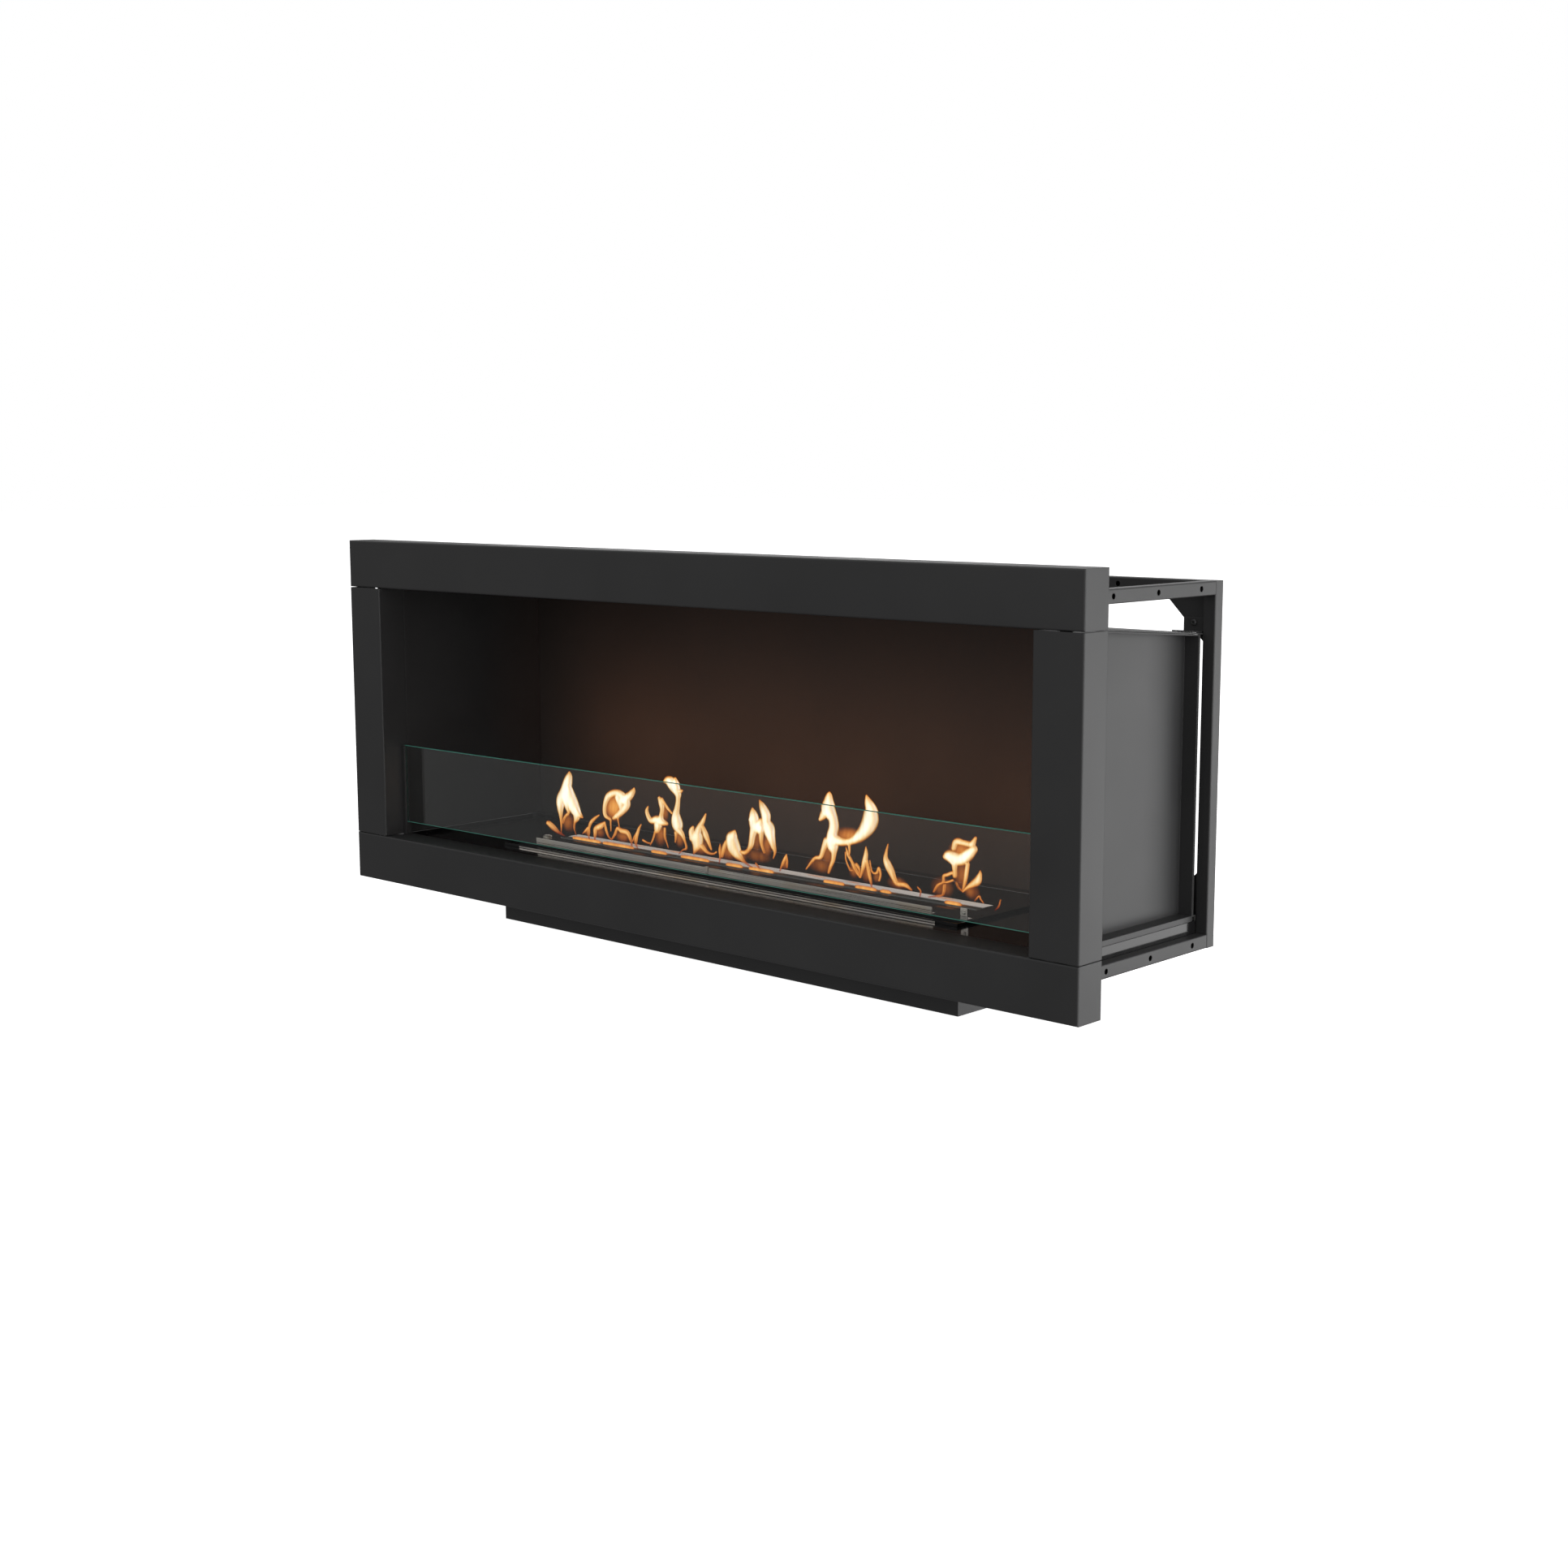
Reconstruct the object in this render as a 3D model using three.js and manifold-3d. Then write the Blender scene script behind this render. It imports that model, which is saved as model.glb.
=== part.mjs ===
// Built-in fireplace insert with a long ribbon burner: a folded steel surround, a welded tube frame,
// a firebox with a sloping roof, a low glass screen, and a lift-out burner unit in a hanging well.
// Millimetres, +Z up. The front faces -Y, and the origin is on the underside of the well, at the
// middle of the whole insert's width and depth.
import * as THREE from "three";
import { mergeVertices } from "three/addons/utils/BufferGeometryUtils.js";
import Module from "manifold-3d";

const wasm = await Module();
wasm.setup();

// Driving dimensions of the whole insert.
const WIDTH = 1550; // the surround, across
const SURROUND_HEIGHT = 593;
const DEPTH = 390; // surround's front face to the frame's rear face
const WELL_DROP = 54; // how far the well hangs below the surround's lower edge
const GAP = 0.3; // clearance between pieces that touch
const SHEET = 2; // folded steel sheet

// Surround.
const SURROUND_DEPTH = 52;
const BEAM_HEIGHT = 80;
const POST_WIDTH = 81;
const JOINT_GAP = 1.2; // shadow line between beams and posts
const BEND_RADIUS = 2.5;

// Tube frame.
const TUBE = 20;
const TUBE_WALL = 1.5;
const TUBE_CORNER = 2;
const FRAME_HALF_WIDTH = 736;
const FRAME_BOTTOM = 37;
const FRAME_TOP = 561;
const FRONT_TUBE_DEPTH = 28; // front face of the front posts
const FIXING_HOLE_RADIUS = 4;
const FIXING_DEPTHS = [120, 226.5, 333]; // fixing holes along each side rail
const REAR_FIXING_X = 572;

// Firebox.
const FIREBOX_HALF_WIDTH = 694; // inside face of the side walls
const FLANGE_HALF_WIDTH = 719; // outer edge of the walls' flanges
const FIREBOX_FRONT = 52.5;
const FIREBOX_REAR = 358; // rear face of the side walls' flanges
const ROOF_TOP_FRONT = 512;
const ROOF_TOP_REAR = 488;
const WALL_FOOT = 82; // walls stop here, above a dark gap over the floor
const FLOOR_TOP = 75.5;
const FLOOR_REAR = 366;

// Glass screen.
const GLASS_BOTTOM = 102;
const GLASS_HEIGHT = 135;
const GLASS_THICKNESS = 5;
const GLASS_DEPTH = 42; // front face of the pane
const HOLDER_WIDTH = 8;
const HOLDER_DEPTH = 12;

// Burner and its well.
const BURNER_HALF_LENGTH = 495;
const BURNER_FRONT = 102;
const BURNER_REAR = 343;
const PLATE_TOP = 80.5;
const WELL_HALF_LENGTH = 497;
const WELL_FRONT = 103;
const WELL_REAR = 342;
const BAY_HALF_LENGTH = 486; // opening in the floor that the burner drops through
const BAY_FRONT = 112;
const BAY_REAR = 333;
const SLOT_HALF_LENGTH = 457;
const SLOT_FRONT = 198;
const SLOT_REAR = 241;
const CAP_X = -475;
const CAP_DEPTH = 184;

const finish = (color, roughness, metalness, extra = {}) =>
  new THREE.MeshStandardMaterial({ color, roughness, metalness, ...extra });
const MATERIALS = {
  blackCoat: finish(0x2b2b2c, 0.5, 0.3),
  hotBlack: finish(0x161514, 0.32, 0.2),
  brushedSteel: finish(0x8b8882, 0.35, 0.9),
  zinc: finish(0x9a9c9e, 0.45, 0.85),
  glass: finish(0xc9dcd5, 0.03, 0, { transparent: true, opacity: 0.35 }),
  plastic: finish(0x17181a, 0.55, 0),
  ceramic: finish(0xd8d2c4, 0.7, 0),
  board: finish(0x1c4a33, 0.6, 0),
  brass: finish(0xb08a4a, 0.35, 0.9),
};

// The insert's own frame: x across, y back from the surround's front face, z up from its lower edge.
const insert = new THREE.Group();
insert.position.set(0, -DEPTH / 2, WELL_DROP);

function add(name, shape, material) {
  const mesh = new THREE.Mesh(shape, material);
  mesh.name = name;
  insert.add(mesh);
}

// Booleans.
function solidOf(geometry) {
  const bare = geometry.clone();
  bare.deleteAttribute("normal");
  bare.deleteAttribute("uv");
  const merged = mergeVertices(bare, 1e-4);
  const vertProperties = Float32Array.from(merged.attributes.position.array);
  const triVerts = Uint32Array.from(merged.index.array);
  return new wasm.Manifold(new wasm.Mesh({ numProp: 3, vertProperties, triVerts }));
}

function geometryOf(solid) {
  const mesh = solid.getMesh();
  const geometry = new THREE.BufferGeometry();
  geometry.setAttribute("position", new THREE.BufferAttribute(mesh.vertProperties, 3));
  geometry.setIndex(new THREE.BufferAttribute(mesh.triVerts, 1));
  geometry.computeVertexNormals();
  return geometry;
}

const join = (...shapes) => geometryOf(shapes.map(solidOf).reduce((a, b) => a.add(b)));
const cut = (body, ...tools) =>
  geometryOf(tools.map(solidOf).reduce((a, b) => a.subtract(b), solidOf(body)));

// Primitive shapes, each given by where it starts and ends along x, y and z.
function block([x0, x1], [y0, y1], [z0, z1]) {
  const box = new THREE.BoxGeometry(x1 - x0, y1 - y0, z1 - z0);
  return box.translate((x0 + x1) / 2, (y0 + y1) / 2, (z0 + z1) / 2);
}

// A round bar along "x", "y" or "z" from a start point.
function bar(axis, radius, length, [x, y, z], sides = 20) {
  const shape = new THREE.CylinderGeometry(radius, radius, length, sides).translate(0, length / 2, 0);
  if (axis === "x") shape.rotateZ(-Math.PI / 2);
  if (axis === "z") shape.rotateX(Math.PI / 2);
  return shape.translate(x, y, z);
}

const outline = (points) => new THREE.Shape(points.map(([u, v]) => new THREE.Vector2(u, v)));

// A prism along x whose outline is drawn in depth and height.
function prismAlongX(points, x0, x1) {
  const shape = new THREE.ExtrudeGeometry(outline(points), { depth: x1 - x0, bevelEnabled: false });
  const axes = new THREE.Matrix4().set(0, 0, 1, x0, 1, 0, 0, 0, 0, 1, 0, 0, 0, 0, 0, 1);
  return shape.applyMatrix4(axes);
}

// A prism along y whose outline is drawn in x and height.
function prismAlongY(points, y0, y1) {
  const shape = new THREE.ExtrudeGeometry(outline(points), { depth: y1 - y0, bevelEnabled: false });
  return shape.rotateX(Math.PI / 2).translate(0, y1, 0);
}

// A prism along z whose outline is drawn in x and depth.
function prismAlongZ(points, z0, z1) {
  const shape = new THREE.ExtrudeGeometry(outline(points), { depth: z1 - z0, bevelEnabled: false });
  return shape.translate(0, 0, z0);
}

// The outline of a rectangle with rounded corners.
function roundedRectangle([u0, u1], [v0, v1], radius) {
  const corners = [
    [u1 - radius, v0 + radius, -90],
    [u1 - radius, v1 - radius, 0],
    [u0 + radius, v1 - radius, 90],
    [u0 + radius, v0 + radius, 180],
  ];
  const steps = [0, 30, 60, 90];
  return corners.flatMap(([u, v, start]) =>
    steps.map((step) => {
      const turn = THREE.MathUtils.degToRad(start + step);
      return [u + radius * Math.cos(turn), v + radius * Math.sin(turn)];
    }),
  );
}

// A panel folded into a shallow tray, open at the back, with its front edges bent to a small radius.
function foldedTray([x0, x1], [z0, z1], depth) {
  const r = BEND_RADIUS;
  const face = outline([
    [x0 + r, z0 + r],
    [x1 - r, z0 + r],
    [x1 - r, z1 - r],
    [x0 + r, z1 - r],
  ]);
  const bevel = { bevelEnabled: true, bevelThickness: r, bevelSize: r, bevelSegments: 4 };
  const rounded = new THREE.ExtrudeGeometry(face, { depth: 2 * depth, ...bevel });
  rounded.rotateX(Math.PI / 2).translate(0, 2 * depth + r, 0);
  const behind = block([x0 - 1, x1 + 1], [depth, 3 * depth], [z0 - 1, z1 + 1]);
  const hollow = block([x0 + SHEET, x1 - SHEET], [SHEET, 4 * depth], [z0 + SHEET, z1 - SHEET]);
  return cut(rounded, behind, hollow);
}

// Surround: two full-width beams, notched where the frame's front posts pass, and two end posts
// of channel section between them.
const HALF = WIDTH / 2;
const OPENING_TOP = SURROUND_HEIGHT - BEAM_HEIGHT;

function surroundBeam(z0, returnZ) {
  const tray = foldedTray([-HALF, HALF], [z0, z0 + BEAM_HEIGHT], SURROUND_DEPTH);
  const notches = [-FRAME_HALF_WIDTH, FRAME_HALF_WIDTH - TUBE].map((x) =>
    block(
      [x - 1, x + TUBE + 1],
      [FRONT_TUBE_DEPTH - 1, SURROUND_DEPTH + 1],
      [returnZ - SHEET - 1, returnZ + SHEET + 1],
    ),
  );
  return cut(tray, ...notches);
}
add("surround_bottom_beam", surroundBeam(0, BEAM_HEIGHT), MATERIALS.blackCoat);
add("surround_top_beam", surroundBeam(OPENING_TOP, OPENING_TOP), MATERIALS.blackCoat);

function surroundPost(x0) {
  const x1 = x0 + POST_WIDTH;
  const r = BEND_RADIUS;
  const channel = new THREE.Shape();
  channel.moveTo(x0, SURROUND_DEPTH);
  channel.lineTo(x0, r);
  channel.absarc(x0 + r, r, r, Math.PI, 1.5 * Math.PI, false);
  channel.lineTo(x1 - r, 0);
  channel.absarc(x1 - r, r, r, 1.5 * Math.PI, 2 * Math.PI, false);
  channel.lineTo(x1, SURROUND_DEPTH);
  channel.lineTo(x1 - SHEET, SURROUND_DEPTH);
  channel.lineTo(x1 - SHEET, SHEET);
  channel.lineTo(x0 + SHEET, SHEET);
  channel.lineTo(x0 + SHEET, SURROUND_DEPTH);
  const foot = BEAM_HEIGHT + JOINT_GAP;
  const depth = OPENING_TOP - JOINT_GAP - foot;
  const solid = new THREE.ExtrudeGeometry(channel, { depth, bevelEnabled: false, curveSegments: 4 });
  return solid.translate(0, 0, foot);
}
add("surround_left_post", surroundPost(-HALF), MATERIALS.blackCoat);
add("surround_right_post", surroundPost(HALF - POST_WIDTH), MATERIALS.blackCoat);

// Tube frame. Posts run full height and are capped on top; rails butt against them.
const REAR_TUBE_DEPTH = DEPTH - TUBE;
const inner = (span) => [span[0] + TUBE_WALL, span[1] - TUBE_WALL];
const past = (span) => [span[0] - 1, span[1] + 1];

function post(x, y) {
  const spanX = [x, x + TUBE];
  const spanY = [y, y + TUBE];
  const hollow = block(inner(spanX), inner(spanY), [FRAME_BOTTOM - 1, FRAME_TOP - TUBE_WALL]);
  const section = roundedRectangle(spanX, spanY, TUBE_CORNER);
  return cut(prismAlongZ(section, FRAME_BOTTOM, FRAME_TOP), hollow);
}

function sideRail(x, z) {
  const spanX = [x, x + TUBE];
  const spanY = [FRONT_TUBE_DEPTH + TUBE + GAP, REAR_TUBE_DEPTH - GAP];
  const spanZ = [z, z + TUBE];
  const fixings = FIXING_DEPTHS.map((y) =>
    bar("x", FIXING_HOLE_RADIUS, TUBE + 2, [x - 1, y, z + TUBE / 2], 16),
  );
  const tube = prismAlongY(roundedRectangle(spanX, spanZ, TUBE_CORNER), ...spanY);
  return cut(tube, block(inner(spanX), past(spanY), inner(spanZ)), ...fixings);
}

function crossRail(y, z, fixingXs) {
  const reach = FRAME_HALF_WIDTH - TUBE - GAP;
  const spanX = [-reach, reach];
  const spanY = [y, y + TUBE];
  const spanZ = [z, z + TUBE];
  const fixings = fixingXs.map((x) =>
    bar("y", FIXING_HOLE_RADIUS, TUBE + 2, [x, y - 1, z + TUBE / 2], 16),
  );
  const tube = prismAlongX(roundedRectangle(spanY, spanZ, TUBE_CORNER), ...spanX);
  return cut(tube, block(past(spanX), inner(spanY), inner(spanZ)), ...fixings);
}

const TOP_RAIL = FRAME_TOP - TUBE;
for (const [side, x] of [
  ["left", -FRAME_HALF_WIDTH],
  ["right", FRAME_HALF_WIDTH - TUBE],
]) {
  add(`frame_front_${side}_post`, post(x, FRONT_TUBE_DEPTH), MATERIALS.blackCoat);
  add(`frame_rear_${side}_post`, post(x, REAR_TUBE_DEPTH), MATERIALS.blackCoat);
  add(`frame_top_${side}_rail`, sideRail(x, TOP_RAIL), MATERIALS.blackCoat);
  add(`frame_bottom_${side}_rail`, sideRail(x, FRAME_BOTTOM), MATERIALS.blackCoat);
}
const REAR_FIXINGS = [-REAR_FIXING_X, REAR_FIXING_X];
add("frame_front_top_rail", crossRail(FRONT_TUBE_DEPTH, TOP_RAIL, []), MATERIALS.blackCoat);
add("frame_front_bottom_rail", crossRail(FRONT_TUBE_DEPTH, FRAME_BOTTOM, []), MATERIALS.blackCoat);
add("frame_rear_top_rail", crossRail(REAR_TUBE_DEPTH, TOP_RAIL, REAR_FIXINGS), MATERIALS.blackCoat);
add(
  "frame_rear_bottom_rail",
  crossRail(REAR_TUBE_DEPTH, FRAME_BOTTOM, REAR_FIXINGS),
  MATERIALS.blackCoat,
);

// Corner gussets, welded in the middle of the rear tubes.
const GUSSET_THICKNESS = 3;
const TOP_GUSSET_LEG = 70;
const BOTTOM_GUSSET_LEG = 89;
const GUSSET_DEPTH = DEPTH - TUBE / 2 - GUSSET_THICKNESS / 2;
const CORNER_X = FRAME_HALF_WIDTH - TUBE - GAP;
const TAB_SCREW = { x: 698, z: 501, shank: 2 };

function gusset(side, corner, direction, leg) {
  const points = [
    [side * CORNER_X, corner],
    [side * (CORNER_X - leg), corner],
    [side * CORNER_X, corner + direction * leg],
  ];
  const plate = prismAlongY(points, GUSSET_DEPTH, GUSSET_DEPTH + GUSSET_THICKNESS);
  if (direction > 0) return plate;
  const at = [side * TAB_SCREW.x, GUSSET_DEPTH - 1, TAB_SCREW.z];
  return cut(plate, bar("y", TAB_SCREW.shank + GAP, GUSSET_THICKNESS + 2, at, 16));
}

for (const [name, side] of [
  ["left", -1],
  ["right", 1],
]) {
  const top = gusset(side, TOP_RAIL - GAP, -1, TOP_GUSSET_LEG);
  const bottom = gusset(side, FRAME_BOTTOM + TUBE + GAP, 1, BOTTOM_GUSSET_LEG);
  add(`gusset_top_${name}`, top, MATERIALS.blackCoat);
  add(`gusset_bottom_${name}`, bottom, MATERIALS.blackCoat);
}

// Firebox. The roof falls towards the back, so smoke and heat run forward and out.
const ROOF_SLOPE = (ROOF_TOP_FRONT - ROOF_TOP_REAR) / (FIREBOX_REAR - FIREBOX_FRONT);
const roofTopAt = (y) => ROOF_TOP_FRONT - ROOF_SLOPE * (y - FIREBOX_FRONT);
const BACK_WALL = FIREBOX_REAR + GAP; // front face of the back wall

function slopedSheet(y0, y1, drop, thickness) {
  return [
    [y0, roofTopAt(y0) - drop - thickness],
    [y1, roofTopAt(y1) - drop - thickness],
    [y1, roofTopAt(y1) - drop],
    [y0, roofTopAt(y0) - drop],
  ];
}

const FIREBOX_OUTER = FIREBOX_HALF_WIDTH + SHEET;
const LIP_BOTTOM = FLOOR_TOP + GAP;
const roofSheet = slopedSheet(FIREBOX_FRONT, FLOOR_REAR, 0, SHEET);
add("firebox_roof", prismAlongX(roofSheet, -FLANGE_HALF_WIDTH, FLANGE_HALF_WIDTH), MATERIALS.blackCoat);

// Side wall: an upright web with flanges turned outwards along its top, rear and bottom edges.
function sideWall(side) {
  const across = (a, b) => (side > 0 ? [a, b] : [-b, -a]);
  const underRoof = SHEET + GAP;
  const web = [
    [FIREBOX_FRONT, WALL_FOOT],
    [FIREBOX_REAR, WALL_FOOT],
    [FIREBOX_REAR, roofTopAt(FIREBOX_REAR) - underRoof],
    [FIREBOX_FRONT, roofTopAt(FIREBOX_FRONT) - underRoof],
  ];
  const topFlange = slopedSheet(FIREBOX_FRONT, FIREBOX_REAR, underRoof, SHEET);
  const rearFlange = slopedSheet(FIREBOX_REAR - SHEET, FIREBOX_REAR, underRoof, SHEET);
  rearFlange[0][1] = WALL_FOOT;
  rearFlange[1][1] = WALL_FOOT;
  const full = across(FIREBOX_HALF_WIDTH, FLANGE_HALF_WIDTH);
  const lip = across(FLANGE_HALF_WIDTH - SHEET, FLANGE_HALF_WIDTH);
  return join(
    prismAlongX(web, ...across(FIREBOX_HALF_WIDTH, FIREBOX_OUTER)),
    prismAlongX(topFlange, ...full),
    prismAlongX(rearFlange, ...full),
    block(full, [FIREBOX_FRONT, FIREBOX_REAR], [WALL_FOOT, WALL_FOOT + SHEET]),
    block(lip, [FIREBOX_FRONT, FIREBOX_REAR], [LIP_BOTTOM, WALL_FOOT + SHEET]),
  );
}
add("firebox_left_wall", sideWall(-1), MATERIALS.blackCoat);
add("firebox_right_wall", sideWall(1), MATERIALS.blackCoat);

// Back wall, with a flange and lip turned backwards at its foot.
const backSpan = [-FLANGE_HALF_WIDTH, FLANGE_HALF_WIDTH];
const backTop = roofTopAt(BACK_WALL + SHEET) - SHEET - GAP;
const backWall = join(
  block(backSpan, [BACK_WALL, BACK_WALL + SHEET], [WALL_FOOT, backTop]),
  block(backSpan, [BACK_WALL, FLOOR_REAR], [WALL_FOOT, WALL_FOOT + SHEET]),
  block(backSpan, [FLOOR_REAR - SHEET, FLOOR_REAR], [LIP_BOTTOM, WALL_FOOT + SHEET]),
);
add("firebox_back_wall", backWall, MATERIALS.hotBlack);

// Floor: an upturned tray that stands on the side rails, with the burner's bay cut out.
const FLOOR_FOOT = FRAME_BOTTOM + TUBE + GAP;
const floorPan = cut(
  block(backSpan, [FIREBOX_FRONT, FLOOR_REAR], [FLOOR_FOOT, FLOOR_TOP]),
  block(
    [-FLANGE_HALF_WIDTH + SHEET, FLANGE_HALF_WIDTH - SHEET],
    [FIREBOX_FRONT + SHEET, FLOOR_REAR - SHEET],
    [FLOOR_FOOT - 1, FLOOR_TOP - SHEET],
  ),
  block(
    [-BAY_HALF_LENGTH, BAY_HALF_LENGTH],
    [BAY_FRONT, BAY_REAR],
    [FLOOR_FOOT - 1, FLOOR_TOP + 1],
  ),
);
add("firebox_floor", floorPan, MATERIALS.hotBlack);

// Tabs that tie the firebox's rear top corners to the gussets.
const TAB_WIDTH = 33;
const TAB_X = 681;
const TAB_TOP = 508;
const TAB_FACE = GUSSET_DEPTH - GAP - SHEET;
const TAB_FOOT_FRONT = 346;

function cornerTab(side) {
  const spanX = side > 0 ? [TAB_X, TAB_X + TAB_WIDTH] : [-TAB_X - TAB_WIDTH, -TAB_X];
  const footTop = roofTopAt(TAB_FOOT_FRONT) + GAP + SHEET;
  const foot = [
    [TAB_FOOT_FRONT, footTop - SHEET],
    [TAB_FACE + SHEET, roofTopAt(TAB_FACE + SHEET) + GAP],
    [TAB_FACE + SHEET, TAB_TOP],
    [TAB_FACE, TAB_TOP],
    [TAB_FACE, roofTopAt(TAB_FACE) + GAP + SHEET],
    [TAB_FOOT_FRONT, footTop],
  ];
  const at = [side * TAB_SCREW.x, TAB_FACE - 1, TAB_SCREW.z];
  return cut(prismAlongX(foot, ...spanX), bar("y", TAB_SCREW.shank + GAP, SHEET + 2, at, 16));
}

// A button-headed screw with a hexagon socket, driven from the front along +y.
function screwAlongY([x, y, z], headRadius, shankRadius, length) {
  const headHeight = headRadius * 0.55;
  const profile = [
    [0, -headHeight],
    [headRadius * 0.62, -headHeight],
    [headRadius * 0.92, -headHeight * 0.5],
    [headRadius, 0],
    [shankRadius, 0],
    [shankRadius, length],
    [0, length],
  ].map(([r, along]) => new THREE.Vector2(r, along));
  const screw = new THREE.LatheGeometry(profile, 20);
  const socket = bar("y", headRadius * 0.42, headHeight, [0, -headHeight * 1.3, 0], 6);
  return cut(screw, socket).translate(x, y, z);
}

for (const [name, side] of [
  ["left", -1],
  ["right", 1],
]) {
  const at = [side * TAB_SCREW.x, TAB_FACE - GAP, TAB_SCREW.z];
  const screw = screwAlongY(at, 5, TAB_SCREW.shank, 11);
  add(`corner_tab_${name}`, cornerTab(side), MATERIALS.blackCoat);
  add(`corner_tab_screw_${name}`, screw, MATERIALS.blackCoat);
}

// Glass screen, standing in an upright slotted holder at each end.
const HOLDER_OUTER = FIREBOX_HALF_WIDTH - GAP;
const HOLDER_FRONT = GLASS_DEPTH + GLASS_THICKNESS / 2 - HOLDER_DEPTH / 2;
const GLASS_TOP = GLASS_BOTTOM + GLASS_HEIGHT;
const SLOT_SIDE_CLEARANCE = 0.5;
const GLASS_HALF_WIDTH = HOLDER_OUTER - SHEET - SLOT_SIDE_CLEARANCE;

function glassHolder(side) {
  const across = (a, b) => (side > 0 ? [a, b] : [-b, -a]);
  const slotDepth = [GLASS_DEPTH - 0.4, GLASS_DEPTH + GLASS_THICKNESS + 0.4];
  return cut(
    block(
      across(HOLDER_OUTER - HOLDER_WIDTH, HOLDER_OUTER),
      [HOLDER_FRONT, HOLDER_FRONT + HOLDER_DEPTH],
      [BEAM_HEIGHT + GAP, GLASS_TOP],
    ),
    block(
      across(HOLDER_OUTER - HOLDER_WIDTH - 1, HOLDER_OUTER - SHEET),
      slotDepth,
      [GLASS_BOTTOM - GAP, GLASS_TOP + 1],
    ),
  );
}
add("glass_holder_left", glassHolder(-1), MATERIALS.blackCoat);
add("glass_holder_right", glassHolder(1), MATERIALS.blackCoat);
add(
  "glass_screen",
  block(
    [-GLASS_HALF_WIDTH, GLASS_HALF_WIDTH],
    [GLASS_DEPTH, GLASS_DEPTH + GLASS_THICKNESS],
    [GLASS_BOTTOM, GLASS_TOP],
  ),
  MATERIALS.glass,
);

// Well: a sheet-steel trough hung under the floor by a flange, with an inlet opening and air slots.
const WELL_TOP = FLOOR_TOP - SHEET - GAP;
const WELL_FLANGE = 11;
const INLET = { x: 400, z: 2, width: 74, height: 30 };
const AIR_SLOTS = { x: 233, z: -18, count: 8, pitch: 12, width: 5, height: 40 };

const shell = ([x0, x1], [y0, y1], [z0, z1], wall) =>
  cut(
    block([x0, x1], [y0, y1], [z0, z1]),
    block([x0 + wall, x1 - wall], [y0 + wall, y1 - wall], [z0 + wall, z1 + 1]),
  );

function airSlots(startX, [y0, y1], z) {
  return Array.from({ length: AIR_SLOTS.count }, (_, i) => {
    const x = startX + i * AIR_SLOTS.pitch;
    return block([x, x + AIR_SLOTS.width], [y0, y1], [z, z + AIR_SLOTS.height]);
  });
}

function well() {
  const outer = shell(
    [-WELL_HALF_LENGTH, WELL_HALF_LENGTH],
    [WELL_FRONT, WELL_REAR],
    [-WELL_DROP, WELL_TOP],
    SHEET,
  );
  const flange = cut(
    block(
      [-WELL_HALF_LENGTH - WELL_FLANGE, WELL_HALF_LENGTH + WELL_FLANGE],
      [WELL_FRONT - WELL_FLANGE, WELL_REAR + WELL_FLANGE],
      [WELL_TOP - SHEET, WELL_TOP],
    ),
    block(
      [-WELL_HALF_LENGTH + SHEET, WELL_HALF_LENGTH - SHEET],
      [WELL_FRONT + SHEET, WELL_REAR - SHEET],
      [WELL_TOP - SHEET - 1, WELL_TOP + 1],
    ),
  );
  const throughRear = [WELL_REAR - SHEET - 1, WELL_REAR + 1];
  const cableHole = bar("y", 6, SHEET + 2, [INLET.x, throughRear[0], INLET.z], 20);
  return cut(join(outer, flange), cableHole, ...airSlots(AIR_SLOTS.x, throughRear, AIR_SLOTS.z));
}
add("burner_well", well(), MATERIALS.blackCoat);

// Mains inlet box on the well's back: a recessed three-pin socket beside the openings for a rocker
// switch and a reset button.
const INLET_BASE = WELL_REAR + GAP;
const INLET_FACE = INLET_BASE + 20;
const SOCKET = { x: INLET.x - 16, width: 24, height: 17, depth: 16.5 };
const BUTTON_DEPTH = 12;
const ROCKER = { x: INLET.x + 10, width: 8, height: 14, tilt: THREE.MathUtils.degToRad(7) };
const RESET = { x: INLET.x + 26, radius: 3, travel: 2 };

function mainsInlet() {
  const housing = block(
    [INLET.x - INLET.width / 2, INLET.x + INLET.width / 2],
    [INLET_BASE, INLET_FACE],
    [INLET.z - INLET.height / 2, INLET.z + INLET.height / 2],
  );
  const recess = block(
    [SOCKET.x - SOCKET.width / 2, SOCKET.x + SOCKET.width / 2],
    [INLET_FACE - SOCKET.depth, INLET_FACE + 1],
    [INLET.z - SOCKET.height / 2, INLET.z + SOCKET.height / 2],
  );
  const rockerHole = block(
    [ROCKER.x - ROCKER.width / 2 - GAP, ROCKER.x + ROCKER.width / 2 + GAP],
    [INLET_FACE - BUTTON_DEPTH, INLET_FACE + 1],
    [INLET.z - ROCKER.height / 2 - GAP, INLET.z + ROCKER.height / 2 + GAP],
  );
  const buttonStart = [RESET.x, INLET_FACE - BUTTON_DEPTH, INLET.z];
  const resetHole = bar("y", RESET.radius + GAP, BUTTON_DEPTH + 1, buttonStart, 20);
  const pins = [
    [-7, -1.5],
    [0, 2.5],
    [7, -1.5],
  ].map(([dx, dz]) =>
    block(
      [SOCKET.x + dx - 1, SOCKET.x + dx + 1],
      [INLET_FACE - SOCKET.depth - 1, INLET_FACE - 4],
      [INLET.z + dz - 2, INLET.z + dz + 2],
    ),
  );
  return join(cut(housing, recess, rockerHole, resetHole), ...pins);
}
add("mains_inlet", mainsInlet(), MATERIALS.plastic);

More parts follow.
